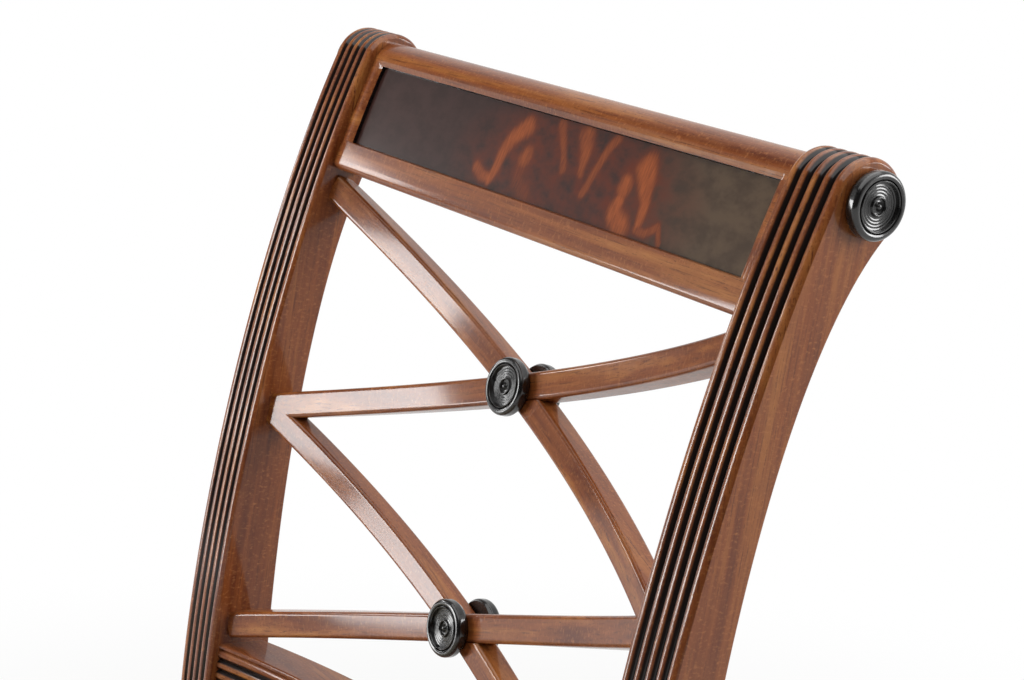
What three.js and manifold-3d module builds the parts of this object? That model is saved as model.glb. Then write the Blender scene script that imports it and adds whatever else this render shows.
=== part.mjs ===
// A dining chair with a double X lattice back between reeded, scrolled stiles, with sabre legs
// and a drop-in seat.
// Millimetres, +Z up, the front towards -Y, the origin on the floor below the middle of the chair.
import * as THREE from "three";
import { mergeVertices } from "three/addons/utils/BufferGeometryUtils.js";
import Module from "manifold-3d";

const wasm = await Module();
wasm.setup();

// Overall sizes
const height = 865;
const depth = 600;
const frontWidth = 490;
const backInner = 390;
const seatRailTop = 437;

// Clearances, and how far a cutter runs past what it cuts
const gap = 0.3;
const overrun = 2;
const weld = 0.0001;
const probe = 0.5;

// Reeding
const reedCount = 4;
const reedSteps = 4;
const reedPitch = 7.9;
const reedDepth = 2.2;
const groove = 0.8;
const arris = 1.1;

// Stiles, each one plank down to its rear leg
const stileWidth = 37.6;
const stileDepth = 44.2;
const scrollRadius = 21.5;
const scrollSides = 24;
const scrollStep = 0.15;
const backRake = 151.4;
const scrollFrontAngle = THREE.MathUtils.degToRad(29.2);
const scrollBackAngle = THREE.MathUtils.degToRad(50.4);
const frontLeanShare = 0.139;
const backLeanShare = 0.108;
const frontReachShare = 0.32;
const backStartShare = 0.351;
const backEndShare = 0.217;
const stileSteps = 16;
const stileEndEase = 1.5;
const bisections = 40;

// Rear leg below the seat
const rearFootWidth = 31;
const rearFootDepth = 30;
const rearSweep = 88;
const rearStartShare = 0.33;
const rearEndShare = 0.3;
const rearFootLeanShare = 0.43;
const legSteps = 8;

// Crest rail with its veneered field. Its lower edge and the field's top hang down from the full height.
const crestDrop = 75.7;
const crestInset = 5.5;
const crestSteps = 7;
const crestArcSteps = 14;
const fieldMargin = 9.5;
const fieldBottomMargin = 16.8;
const fieldDrop = 13.5;
const fieldDepth = 4.2;
const veneerThick = 1.6;
const crestTenonLength = 12;
const crestTenonThick = 9;
const crestTenonHigh = 34;

// Lattice
const barFace = 16.4;
const barThick = 15;
const barRound = 2.4;
const barSteps = 14;
const latticeSetBack = 10;
const latticeBow = 33;
const latticeMiddleShare = 0.505;
const latticeFoot = 12.2;
const mitreSpread = 1.2;
const mitreZone = 48;
const stubLength = 8;
const stubThick = 7;
const stubHigh = 7;
const stubSpread = 1.8;

// Lower back rail, a step above the seat rails
const lowerRailRise = 50;
const lowerRailHeight = 35;
const lowerRailThick = 33.5;
const lowerRailSetBack = 5.5;
const lowerRailBow = 40;
const lowerRailPitch = 7.1;
const lowerRailSteps = 16;
const lowerTenonLength = 13;
const lowerTenonThick = 12;
const lowerTenonHigh = 22;

// Turned discs and the dowels that carry them
const discRadius = 16.5;
const discProud = 8;
const discSides = 20;
const dowelRadius = 3;
const dowelSides = 10;
const dowelInDisc = 3;
const spigotRadius = 4;
const spigotLength = 10;

// Front legs
const frontLegWidth = 40;
const frontLegDepth = 38;
const frontFootWidth = 29;
const frontFootDepth = 30;
const frontSweep = 36;
const frontStartShare = 0.34;
const frontEndShare = 0.3;
const frontTopLeanShare = 0.05;
const frontFootLeanShare = 0.42;
const legReedPitch = 7.9;

// Seat rails
const railHeight = 58;
const sideRailThick = 26;
const frontRailThick = 24;
const rearRailThick = 24;
const railInset = 3;
const railTenonLength = 14;
const railTenonThick = 9;
const railTenonHigh = 36;
const railTenonRoot = 8;
const railReach = 8;

// Seat bearers, corner blocks and their screws
const bearerWidth = 13;
const bearerHeight = 14;
const seatSunk = 12;
const blockLeg = 62;
const blockHeight = 30;
const screwOffset = 38;
const screwSeat = 14;
const screwLength = 27;
const screwRadius = 2.1;
const screwHeadRadius = 4.2;
const screwHeadHeight = 2.6;
const screwSlotWidth = 1;
const screwSides = 8;
const screwTip = 4.2;

// Drop-in seat
const seatEase = 3;
const frameWidth = 46;
const frameThick = 18;
const webWidth = 50;
const webThick = 1.2;
const webCount = 3;
const coverThick = 1.5;
const cushionRise = 37;
const cushionEdgeRise = 19;
const cushionBulge = 1.4;
const cushionCorner = 22;
const cushionPoints = 12;
const padEdge = 30;
const liningThick = 0.8;
const liningInset = 22;

// Glides under the feet
const glideRadius = 10;
const glideTread = 8.2;
const glideHeight = 3;
const glideChamfer = 1.2;
const glidePinRadius = 1.5;
const glidePinLength = 9;
const glideSides = 12;

// Places that follow from the sizes
const halfInner = backInner / 2;
const halfOuter = halfInner + stileWidth;
const halfFront = frontWidth / 2;
const scrollY = depth / 2 - scrollRadius;
const scrollZ = height - scrollRadius;
const seatY = scrollY - backRake;
const rise = scrollZ - seatRailTop;
const footZ = glideHeight + gap;
const crestBottom = height - crestDrop;
const fieldTop = height - fieldDrop;
const lowerRailTop = seatRailTop + lowerRailRise;
const barHigh = crestBottom - gap - barFace / 2;
const barLow = lowerRailTop + latticeFoot;
const latticeMiddle = THREE.MathUtils.lerp(barLow, barHigh, latticeMiddleShare);
const railBottom = seatRailTop - railHeight;
const frontLegY = -depth / 2 + frontSweep;
const frontLegBack = frontLegY + frontLegDepth;
const frontRailY = frontLegY + railInset;
const frontRailInner = frontRailY + frontRailThick;
const ledge = seatRailTop - seatSunk;
const cushionTop = seatRailTop + cushionRise;
const cushionEdge = seatRailTop + cushionEdgeRise;

// Finishes
const mahogany = { color: 0x6a3420, roughness: 0.32, metalness: 0 };
const flameVeneer = { color: 0x45201a, roughness: 0.18, metalness: 0 };
const ebonised = { color: 0x0e0d0d, roughness: 0.2, metalness: 0 };
const beech = { color: 0xc49a6c, roughness: 0.6, metalness: 0 };
const jute = { color: 0xa98a5c, roughness: 0.95, metalness: 0 };
const foam = { color: 0xe8dcb4, roughness: 0.95, metalness: 0 };
const fabric = { color: 0xe3d9c4, roughness: 0.9, metalness: 0 };
const lining = { color: 0x26221f, roughness: 0.95, metalness: 0 };
const steel = { color: 0x8c8f92, roughness: 0.4, metalness: 1 };
const nylon = { color: 0x2c2622, roughness: 0.5, metalness: 0 };

const chair = new THREE.Group();

// A closed geometry as a solid, with its faces turned outwards.
function solid(geometry) {
  geometry.deleteAttribute("normal");
  geometry.deleteAttribute("uv");
  const merged = mergeVertices(geometry, weld);
  const order = Array.from(merged.index.array);
  const corners = [];
  for (let i = 0; i < order.length; i += 3) {
    const [a, b, c] = order.slice(i, i + 3);
    if (a !== b && b !== c && c !== a) corners.push(a, b, c);
  }
  const build = (triVerts) =>
    new wasm.Manifold(
      new wasm.Mesh({ numProp: 3, vertProperties: merged.attributes.position.array, triVerts }),
    );
  const made = build(new Uint32Array(corners));
  return made.volume() < 0 ? build(new Uint32Array(corners.reverse())) : made;
}

const cut = (body, ...tools) => tools.reduce((left, tool) => left.subtract(tool), body);
const join = (body, ...others) => others.reduce((whole, other) => whole.add(other), body);

function geometryOf(body) {
  const mesh = body.getMesh();
  const geometry = new THREE.BufferGeometry();
  geometry.setAttribute("position", new THREE.BufferAttribute(mesh.vertProperties, 3));
  return geometry.setIndex(new THREE.BufferAttribute(mesh.triVerts, 1));
}

// The same piece for the other side of the chair
const mirror = (body) => solid(geometryOf(body).scale(-1, 1, 1));
const onBothSides = (body) => [body, mirror(body)];

// Adds a named mesh, turned over for the other side of the chair where it is mirrored.
function addPiece(name, body, finish, mirrored = false) {
  const flat = geometryOf(body).toNonIndexed();
  flat.computeVertexNormals();
  const piece = new THREE.Mesh(flat, new THREE.MeshStandardMaterial(finish));
  piece.name = name;
  if (mirrored) piece.scale.x = -1;
  chair.add(piece);
}

function addPair(name, body, finish) {
  addPiece(`${name}_right`, body, finish);
  addPiece(`${name}_left`, body, finish, true);
}

// What make gives at even steps between two values
const between = (from, to, steps, make) =>
  Array.from({ length: steps + 1 }, (_, i) => make(THREE.MathUtils.lerp(from, to, i / steps)));

// A solid through rings of points, all with as many points, closed by a fan at both ends.
function loft(rings) {
  const count = rings[0].length;
  const points = rings.flat();
  const faces = [];
  for (let r = 0; r + 1 < rings.length; r++) {
    for (let i = 0; i < count; i++) {
      const a = r * count + i;
      const b = r * count + ((i + 1) % count);
      faces.push(a, b, b + count, a, b + count, a + count);
    }
  }
  const closeEnd = (first, flip) => {
    const middle = new THREE.Vector3();
    for (let i = 0; i < count; i++) middle.addScaledVector(points[first + i], 1 / count);
    const m = points.push(middle) - 1;
    for (let i = 0; i < count; i++) {
      const next = first + ((i + 1) % count);
      faces.push(m, ...(flip ? [first + i, next] : [next, first + i]));
    }
  };
  closeEnd(0, false);
  closeEnd((rings.length - 1) * count, true);
  const geometry = new THREE.BufferGeometry().setFromPoints(points);
  geometry.setIndex(faces);
  return solid(geometry);
}

// A box between two corners.
function block(x0, x1, y0, y1, z0, z1) {
  const box = new THREE.BoxGeometry(x1 - x0, y1 - y0, z1 - z0);
  return solid(box.translate((x0 + x1) / 2, (y0 + y1) / 2, (z0 + z1) / 2));
}

// An outline in the side view, of [y, z] points, pushed through from -halfLength to +halfLength along X.
function alongX(outline, halfLength) {
  const shape = new THREE.Shape(outline.map(([y, z]) => new THREE.Vector2(y, z)));
  const body = new THREE.ExtrudeGeometry(shape, { depth: 2 * halfLength, bevelEnabled: false });
  const turn = new THREE.Matrix4().makeBasis(
    new THREE.Vector3(0, 1, 0),
    new THREE.Vector3(0, 0, 1),
    new THREE.Vector3(1, 0, 0),
  );
  return solid(body.translate(0, 0, -halfLength).applyMatrix4(turn));
}

// An outline in the plan, of [x, y] points, from one height to another.
function upright(outline, z0, z1) {
  const shape = new THREE.Shape(outline.map(([x, y]) => new THREE.Vector2(x, y)));
  const body = new THREE.ExtrudeGeometry(shape, { depth: z1 - z0, bevelEnabled: false });
  return solid(body.translate(0, 0, z0));
}

// A turned piece from [radius, along] points, with its axis from a point in a direction.
function turned(profile, sides, at, direction) {
  const body = new THREE.LatheGeometry(profile.map(([r, h]) => new THREE.Vector2(r, h)), sides);
  const turn = new THREE.Quaternion().setFromUnitVectors(new THREE.Vector3(0, 1, 0), direction);
  return solid(body.applyQuaternion(turn).translate(at.x, at.y, at.z));
}

const rod = (radius, from, to, sides, at, direction) =>
  turned([[0, from], [radius, from], [radius, to], [0, to]], sides, at, direction);

// Across a reeded face: [distance, depth below the face], with a plain edge each side of the round reeds.
function reedLine(width, pitch) {
  const edge = (width - reedCount * pitch) / 2;
  const half = pitch / 2;
  const round = (half ** 2 + reedDepth ** 2) / (2 * reedDepth);
  const line = [[0, arris], [arris, 0], [edge - groove, 0], [edge, reedDepth]];
  for (let i = 1; i <= reedCount * reedSteps; i++) {
    const across = (i / reedSteps) * pitch;
    const off = (across % pitch) - half;
    const sunk = i % reedSteps ? round - Math.sqrt(round ** 2 - off ** 2) : reedDepth;
    line.push([edge + across, sunk]);
  }
  return [...line, [width - edge + groove, 0], [width - arris, 0], [width, arris]];
}

const yz = (y, z) => new THREE.Vector2(y, z);

// Side view curves of a stile. A lean is how far back a curve goes for its rise.
function leanCurve(y0, z0, lean0, reach0, y1, z1, lean1, reach1) {
  return new THREE.CubicBezierCurve(
    yz(y0, z0),
    yz(y0 + lean0 * reach0, z0 + reach0),
    yz(y1 - lean1 * reach1, z1 - reach1),
    yz(y1, z1),
  );
}

// The stile's curves touch a circle a hair outside the scroll's drum, so that both join in a clean line.
const scrollPoint = (angle, radius = scrollRadius + scrollStep) =>
  yz(scrollY + radius * Math.cos(angle), scrollZ + radius * Math.sin(angle));

const frontTouch = scrollPoint(Math.PI - scrollFrontAngle);
const backTouch = scrollPoint(-scrollBackAngle);
const stileFront = leanCurve(
  seatY, seatRailTop, frontLeanShare, frontReachShare * rise,
  frontTouch.x, frontTouch.y,
  Math.tan(scrollFrontAngle), frontReachShare * rise * Math.cos(scrollFrontAngle),
);
const stileBack = leanCurve(
  seatY + stileDepth, seatRailTop, backLeanShare, backStartShare * rise,
  backTouch.x, backTouch.y,
  Math.tan(scrollBackAngle), backEndShare * rise * Math.cos(scrollBackAngle),
);

// The back of a stile for u from 0 to 1, then on round the scroll for u from 1 to 2.
function backPath(u) {
  if (u <= 1) return stileBack.getPoint(u);
  return scrollPoint(-scrollBackAngle + (u - 1) * (scrollBackAngle - scrollFrontAngle));
}

function bisect(low, high, tooLow) {
  let [a, b] = [low, high];
  for (let i = 0; i < bisections; i++) {
    const middle = (a + b) / 2;
    if (tooLow(middle)) a = middle;
    else b = middle;
  }
  return (a + b) / 2;
}

// Where the back path lies square behind a point of the front curve.
function squareBehind(t) {
  const from = stileFront.getPoint(t);
  const along = stileFront.getTangent(t);
  return bisect(0, 2, (u) => backPath(u).sub(from).dot(along) < 0);
}

// The stile's front at a height: its curve parameter, point, direction up, and square into the wood.
function stileAt(z) {
  const t = bisect(0, 1, (share) => stileFront.getPoint(share).y < z);
  const along = stileFront.getTangent(t);
  return { t, point: stileFront.getPoint(t), along, into: yz(along.y, -along.x) };
}

// A point behind the stile's front line, at a side distance x, set back square to it.
function behindFront(x, z, setBack) {
  const { point, into } = stileAt(z);
  return new THREE.Vector3(x, point.x + into.x * setBack, point.y + into.y * setBack);
}

const leanAngle = (z) => {
  const { along } = stileAt(z);
  return Math.atan2(along.x, along.y);
};

// A tenon at the right stile's inner face, or with grow its mortise: square to the stile at a height.
function tenon(z, setBack, length, thick, high, grow = 0) {
  const box = new THREE.BoxGeometry(length + overrun + grow, thick + 2 * grow, high + 2 * grow);
  const at = behindFront(halfInner + (length - overrun + grow) / 2, z, setBack);
  return solid(box.rotateX(-leanAngle(z)).translate(at.x, at.y, at.z));
}

// One ring of a reeded leg or stile: reeds on the front, soft edges on the back.
// With grow it stands proud all round.
function reededRing(front, back, line, centreX, widthShare, reedShare, grow) {
  const inward = back.clone().sub(front).normalize();
  const width = line.at(-1)[0];
  const spread = widthShare + (2 * grow) / width;
  const at = (across, base, sunk) => {
    const { x, y } = base.clone().addScaledVector(inward, sunk);
    return new THREE.Vector3(centreX + (across - width / 2) * spread, x, y);
  };
  const isEdge = (i) => i === 0 || i === line.length - 1;
  const face = line.map(([across, sunk], i) =>
    at(across, front, (isEdge(i) ? sunk : sunk * reedShare) - grow));
  const rear = [[width, -arris], [width - arris, 0], [arris, 0], [0, -arris]];
  return [...face, ...rear.map(([across, sunk]) => at(across, back, sunk + grow))];
}

// The sizes that the mortises share with the tenons that go in them
const crestTenonZ = (crestBottom + fieldTop) / 2;
const crestTenonBack = crestInset + fieldDepth + veneerThick + crestTenonThick / 2 + overrun;
const lowerTenonZ = lowerRailTop - lowerRailHeight / 2;
const lowerTenonBack = lowerRailSetBack + lowerRailThick / 2;
const stubBack = latticeSetBack + barThick / 2;
const stubRise = stubHigh / 2 + stubSpread;
const stubPlaces = [
  barHigh - mitreSpread, latticeMiddle + stubRise, latticeMiddle - stubRise, barLow,
];
const latticeStub = (z, grow) => tenon(z, stubBack, stubLength, stubThick, stubHigh, grow);
const crestTenon = (grow) =>
  tenon(crestTenonZ, crestTenonBack, crestTenonLength, crestTenonThick, crestTenonHigh, grow);
const lowerTenon = (grow) =>
  tenon(lowerTenonZ, lowerTenonBack, lowerTenonLength, lowerTenonThick, lowerTenonHigh, grow);

// Tenons of the seat rails on the right side, and with grow their mortises
const railTenonZ0 = railBottom + (railHeight - railTenonHigh) / 2;
const railTenonZ1 = railTenonZ0 + railTenonHigh;
const sideTenonX = halfInner + stileWidth - railInset - sideRailThick / 2;
const sideRailFrontX = halfFront - railInset - sideRailThick / 2;

function rearSideTenon(grow) {
  const half = railTenonThick / 2 + grow;
  return block(sideTenonX - half, sideTenonX + half, seatY - railTenonRoot, seatY + railTenonLength + grow,
    railTenonZ0 - grow, railTenonZ1 + grow);
}

function frontSideTenon(grow) {
  const half = railTenonThick / 2 + grow;
  return block(sideRailFrontX - half, sideRailFrontX + half, frontLegBack - railTenonLength - grow,
    frontLegBack + railTenonRoot, railTenonZ0 - grow, railTenonZ1 + grow);
}

function rearRailTenon(grow) {
  const middle = seatY + rearRailThick / 2 + overrun;
  const half = railTenonThick / 2 + grow;
  return block(halfInner - overrun, halfInner + railTenonLength - overrun + grow,
    middle - half, middle + half, railTenonZ0 - grow, railTenonZ1 + grow);
}

function frontRailTenon(grow) {
  const inner = halfFront - frontLegWidth;
  const middle = frontRailY + frontRailThick / 2 - overrun;
  const half = railTenonThick / 2 + grow;
  return block(inner - railTenonRoot, inner + railTenonLength + grow, middle - half, middle + half,
    railTenonZ0 - grow, railTenonZ1 + grow);
}

// Stile and rear leg
const legFrontCurve = leanCurve(
  seatY + rearSweep, footZ, -rearFootLeanShare, rearEndShare * seatRailTop,
  seatY, seatRailTop, frontLeanShare, rearStartShare * seatRailTop,
);
const legBackCurve = leanCurve(
  seatY + rearSweep + rearFootDepth, footZ, -rearFootLeanShare, rearEndShare * seatRailTop,
  seatY + stileDepth, seatRailTop, backLeanShare, rearStartShare * seatRailTop,
);
const stileLine = reedLine(stileWidth, reedPitch);
const stileCentre = halfInner + stileWidth / 2;

// Only the real stile is reeded; the shape that trims its neighbours, grown by a gap, is plain.
function stileBody(grow = 0) {
  const rings = [];
  for (let i = 0; i < legSteps; i++) {
    const t = i / legSteps;
    const [front, back] = [legFrontCurve.getPoint(t), legBackCurve.getPoint(t)];
    const share = THREE.MathUtils.lerp(rearFootWidth / stileWidth, 1, t);
    rings.push(reededRing(front, back, stileLine, stileCentre, share, 0, grow));
  }
  for (let i = 0; i <= stileSteps; i++) {
    const t = 1 - (1 - i / stileSteps) ** stileEndEase;
    const [front, back] = [stileFront.getPoint(t), backPath(squareBehind(t))];
    rings.push(reededRing(front, back, stileLine, stileCentre, 1, grow ? 0 : 1, grow));
  }
  return loft(rings);
}

function scrollDrum() {
  const profile = stileLine.map(([across, sunk]) => [scrollRadius - sunk, across]);
  const at = new THREE.Vector3(halfInner, scrollY, scrollZ);
  return turned([[0, 0], ...profile, [0, stileWidth]], scrollSides, at, new THREE.Vector3(1, 0, 0));
}

const outward = new THREE.Vector3(1, 0, 0);
const roundelSeat = new THREE.Vector3(halfOuter, scrollY, scrollZ);
const up = new THREE.Vector3(0, 0, 1);
const rearGlideAt = new THREE.Vector3(stileCentre, seatY + rearSweep + rearFootDepth / 2, 0);
const glideHole = (at) =>
  rod(glidePinRadius + gap, 0, footZ + glidePinLength + overrun, dowelSides, at, up);

const stile = cut(
  join(stileBody(), scrollDrum()),
  rod(spigotRadius + gap, -spigotLength - overrun, overrun, dowelSides, roundelSeat, outward),
  crestTenon(gap),
  lowerTenon(gap),
  rearSideTenon(gap),
  rearRailTenon(gap),
  glideHole(rearGlideAt),
  ...stubPlaces.map((z) => latticeStub(z, gap)),
);
addPair("stile", stile, mahogany);

// Front legs
const legLine = reedLine(frontLegWidth, legReedPitch);
const frontLegCentre = halfFront - frontLegWidth / 2;
const frontLegFace = leanCurve(
  -depth / 2, footZ, frontFootLeanShare, frontEndShare * seatRailTop,
  frontLegY, seatRailTop, -frontTopLeanShare, frontStartShare * seatRailTop,
);
const frontLegRear = leanCurve(
  -depth / 2 + frontFootDepth, footZ, frontFootLeanShare, frontEndShare * seatRailTop,
  frontLegBack, seatRailTop, -frontTopLeanShare, frontStartShare * seatRailTop,
);

function frontLegBody(grow = 0) {
  const rings = between(0, 1, legSteps, (t) => {
    const [front, back] = [frontLegFace.getPoint(t), frontLegRear.getPoint(t)];
    const share = THREE.MathUtils.lerp(frontFootWidth / frontLegWidth, 1, t);
    return reededRing(front, back, legLine, frontLegCentre, share, grow ? 0 : share, grow);
  });
  return loft(rings);
}

// Plan lines of the side rails' inner faces
const sideOuterX = (y) =>
  THREE.MathUtils.mapLinear(y, frontLegBack, seatY, halfFront - railInset, halfOuter - railInset);
const sideInnerX = (y) => sideOuterX(y) - sideRailThick;

// The plan of the drop-in seat, drawn in or let out all round by one distance
function seatPlan(grow) {
  const front = frontRailInner + seatEase - grow;
  const rear = seatY - seatEase - overrun + grow;
  const side = (y) => sideInnerX(y) - seatEase + grow;
  return [[-side(front), front], [side(front), front], [side(rear), rear], [-side(rear), rear]];
}

const frontGlideAt = new THREE.Vector3(frontLegCentre, -depth / 2 + frontFootDepth / 2, 0);
const frontLeg = cut(
  frontLegBody(),
  upright(seatPlan(seatEase), ledge - gap, seatRailTop + overrun),
  frontSideTenon(gap),
  frontRailTenon(gap),
  glideHole(frontGlideAt),
);
addPair("front_leg", frontLeg, mahogany);

// The legs' shapes grown by the gap, to trim the pieces that butt against them
const legRooms = [stileBody(gap), frontLegBody(gap)];

// Seat rails: a reeded band along the outer face of the front and side ones
const railLine = reedLine(railHeight, reedPitch);

function railRing(place, thick) {
  const face = railLine.map(([across, sunk]) => place(sunk, seatRailTop - across));
  return [...face, place(thick, railBottom), place(thick, seatRailTop)];
}

// The side rails reach a little way into the legs and are then trimmed to them.
const sideRailEnds = [frontLegBack - railReach, seatY + railReach];
const sideRailBody = loft(
  sideRailEnds.map((y) => {
    const place = (inset, z) => new THREE.Vector3(sideOuterX(y) - inset, y, z);
    return railRing(place, sideRailThick);
  }),
);
const frontRailHalf = halfFront - frontLegWidth - gap;
const frontRailBody = loft(
  [-frontRailHalf, frontRailHalf].map((x) =>
    railRing((inset, z) => new THREE.Vector3(x, frontRailY + inset, z), frontRailThick)),
);
const rearRailHalf = halfInner - gap;
const rearRailFace = seatY + overrun;
const rearRailBody = block(
  -rearRailHalf, rearRailHalf, rearRailFace, rearRailFace + rearRailThick, railBottom, seatRailTop,
);

// Corner blocks and their screws, given for the right side
const blockTop = ledge - bearerHeight - gap;
const screwZ = blockTop - blockHeight / 2;

function cornerPlan(cornerY, step) {
  const near = cornerY + step * gap;
  const far = near + step * blockLeg;
  const x = (y) => sideInnerX(y) - gap;
  return [[x(near), near], [x(far), far], [x(near) - blockLeg, near]];
}

// Screw places of a corner: one into the side rail, one into the cross rail
function screwPlaces(cornerY, step) {
  const sideY = cornerY + step * screwOffset;
  const crossX = sideInnerX(cornerY) - screwOffset;
  const crossWay = new THREE.Vector3(0, -step, 0);
  return [
    { at: new THREE.Vector3(sideInnerX(sideY) - screwSeat, sideY, screwZ), way: outward },
    { at: new THREE.Vector3(crossX, cornerY + step * screwSeat, screwZ), way: crossWay },
  ];
}

const corners = [
  { name: "front", y: frontRailInner, step: 1 },
  { name: "rear", y: rearRailFace, step: -1 },
];
const screwHole = ({ at, way }) =>
  join(
    rod(screwRadius + gap, -overrun, screwLength + overrun, screwSides, at, way),
    rod(screwHeadRadius + gap, -screwHeadHeight - blockLeg, 0, screwSides, at, way),
  );
const allScrews = corners.flatMap(({ y, step }) => screwPlaces(y, step));
const screwHoles = allScrews.map(screwHole);

const sideRail = cut(
  join(cut(sideRailBody, ...legRooms), rearSideTenon(0), frontSideTenon(0)),
  ...screwHoles,
);
addPair("seat_rail", sideRail, mahogany);
const bothScrewHoles = screwHoles.flatMap(onBothSides);
const withTenons = (body, tenonBody) => join(body, ...onBothSides(tenonBody));
const frontRail = withTenons(frontRailBody, frontRailTenon(0));
const rearRail = withTenons(rearRailBody, rearRailTenon(0));
addPiece("seat_rail_front", cut(frontRail, ...bothScrewHoles), mahogany);
addPiece("seat_rail_rear", cut(rearRail, ...bothScrewHoles), mahogany);

function screw({ at, way }) {
  const body = turned(
    [[0, -screwHeadHeight], [screwHeadRadius, -screwHeadHeight], [screwRadius, 0],
      [screwRadius, screwLength - screwTip], [0, screwLength]],
    screwSides, at, way,
  );
  const slot = new THREE.BoxGeometry(screwSlotWidth, screwHeadHeight, 3 * screwHeadRadius);
  const turn = new THREE.Quaternion().setFromUnitVectors(new THREE.Vector3(0, 1, 0), way);
  const head = way.clone().multiplyScalar(-screwHeadHeight).add(at);
  return cut(body, solid(slot.applyQuaternion(turn).translate(head.x, head.y, head.z)));
}

for (const { name, y, step } of corners) {
  const plan = cornerPlan(y, step);
  const piece = cut(upright(plan, blockTop - blockHeight, blockTop), ...legRooms, ...screwHoles);
  addPair(`corner_block_${name}`, piece, beech);
  const [sidePlace, crossPlace] = screwPlaces(y, step);
  addPair(`screw_${name}_side`, screw(sidePlace), steel);
  addPair(`screw_${name}_cross`, screw(crossPlace), steel);
}

// Seat bearers along the inner faces of the rails
const bearerBottom = ledge - bearerHeight;
const bearerEnds = [frontLegBack + gap, seatY - gap - bearerWidth];
const sideBearerPlan = [
  [sideInnerX(bearerEnds[0]) - gap, bearerEnds[0]],
  [sideInnerX(bearerEnds[1]) - gap, bearerEnds[1]],
  [sideInnerX(bearerEnds[1]) - gap - bearerWidth, bearerEnds[1]],
  [sideInnerX(bearerEnds[0]) - gap - bearerWidth, bearerEnds[0]],
];
addPair("seat_bearer", cut(upright(sideBearerPlan, bearerBottom, ledge), ...legRooms), beech);
const frontBearerHalf = halfFront - frontLegWidth - gap;
const frontBearer = block(
  -frontBearerHalf, frontBearerHalf, frontRailInner + gap, frontLegBack, bearerBottom, ledge,
);
addPiece("seat_bearer_front", frontBearer, beech);
const rearBearerHalf = halfInner - gap;
const rearBearer = block(
  -rearBearerHalf, rearBearerHalf, rearRailFace - gap - bearerWidth, rearRailFace - gap,
  bearerBottom, ledge,
);
addPiece("seat_bearer_rear", rearBearer, beech);

// Crest rail
const crestStart = stileAt(crestBottom).t;

// The stile's front line moved square into the wood by a distance
function insetFront(t, inset) {
  const along = stileFront.getTangent(t);
  const point = stileFront.getPoint(t);
  return [point.x + along.y * inset, point.y - along.x * inset];
}

function insetBack(u, inset) {
  const along = stileBack.getTangent(u);
  const point = stileBack.getPoint(u);
  return [point.x - along.y * inset, point.y + along.x * inset];
}

function crestOutline() {
  const front = between(crestStart, 1, crestSteps, (t) => insetFront(t, crestInset));
  const arc = between(Math.PI - scrollFrontAngle, -scrollBackAngle, crestArcSteps, (angle) =>
    scrollPoint(angle, scrollRadius - crestInset).toArray());
  const back = between(1, squareBehind(crestStart), crestSteps, (u) => insetBack(u, crestInset));
  return [...front, ...arc.slice(1), ...back.slice(1)];
}

// The field that the veneer lies in, between two depths below the stile's front
function fieldOutline(near, far, margin) {
  const low = stileAt(crestBottom + fieldBottomMargin + margin).t;
  const high = stileAt(fieldTop - margin).t;
  return [
    ...between(low, high, crestSteps, (t) => insetFront(t, near)),
    ...between(high, low, crestSteps, (t) => insetFront(t, far)),
  ];
}

const crestHalf = halfInner - gap;
const fieldFloor = crestInset + fieldDepth + veneerThick;
const fieldCut = alongX(fieldOutline(-overrun, fieldFloor + gap, 0), crestHalf - fieldMargin);
const crestBody = alongX(crestOutline(), crestHalf);
addPiece("crest_rail", withTenons(cut(crestBody, fieldCut), crestTenon(0)), mahogany);
const veneerOutline = fieldOutline(crestInset + fieldDepth, fieldFloor, gap);
addPiece("crest_veneer", alongX(veneerOutline, crestHalf - fieldMargin - gap), flameVeneer);

// Lower back rail, bowed back in plan
function bow(x, sag) {
  const round = (halfInner ** 2 + sag ** 2) / (2 * sag);
  return Math.sqrt(round ** 2 - x ** 2) - round + sag;
}

function lowerRailRing(x) {
  const { point, along, into } = stileAt(lowerRailTop);
  const setBack = lowerRailSetBack + bow(x, lowerRailBow);
  const place = (down, sunk) =>
    new THREE.Vector3(
      x,
      point.x - along.x * down + into.x * (setBack + sunk),
      point.y - along.y * down + into.y * (setBack + sunk),
    );
  const face = reedLine(lowerRailHeight, lowerRailPitch).map(([across, sunk]) => place(across, sunk));
  const [low, back] = [lowerRailHeight, lowerRailThick];
  const rear = [[low, back - arris], [low - arris, back], [arris, back], [0, back - arris]];
  return [...face, ...rear.map(([down, sunk]) => place(down, sunk))];
}

const lowerRailHalf = halfInner - gap;
const lowerRail = loft(between(-lowerRailHalf, lowerRailHalf, lowerRailSteps, lowerRailRing));
addPiece("lower_back_rail", withTenons(lowerRail, lowerTenon(0)), mahogany);

// Lattice bars
const latticePoint = (x, z) => behindFront(x, z, latticeSetBack + bow(x, latticeBow));
const crossings = [
  { name: "upper", low: latticeMiddle + mitreSpread, high: barHigh - mitreSpread },
  { name: "lower", low: barLow, high: latticeMiddle - mitreSpread },
];

// A bar's centre line climbs evenly from one stile to the other; rightward bars climb to the right.
function barFrame({ low, high }, rightward, x) {
  const share = (halfInner + (rightward ? x : -x)) / backInner;
  const z = THREE.MathUtils.lerp(low, high, share);
  const climb = ((high - low) / backInner) * (rightward ? 1 : -1);
  const sideways = latticePoint(x + probe, z).sub(latticePoint(x - probe, z));
  const upwards = latticePoint(x, z + probe).sub(latticePoint(x, z - probe));
  const facing = sideways.clone().cross(upwards).normalize();
  const run = sideways.addScaledVector(upwards, climb).normalize();
  return { centre: latticePoint(x, z), facing, across: facing.clone().cross(run) };
}

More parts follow.
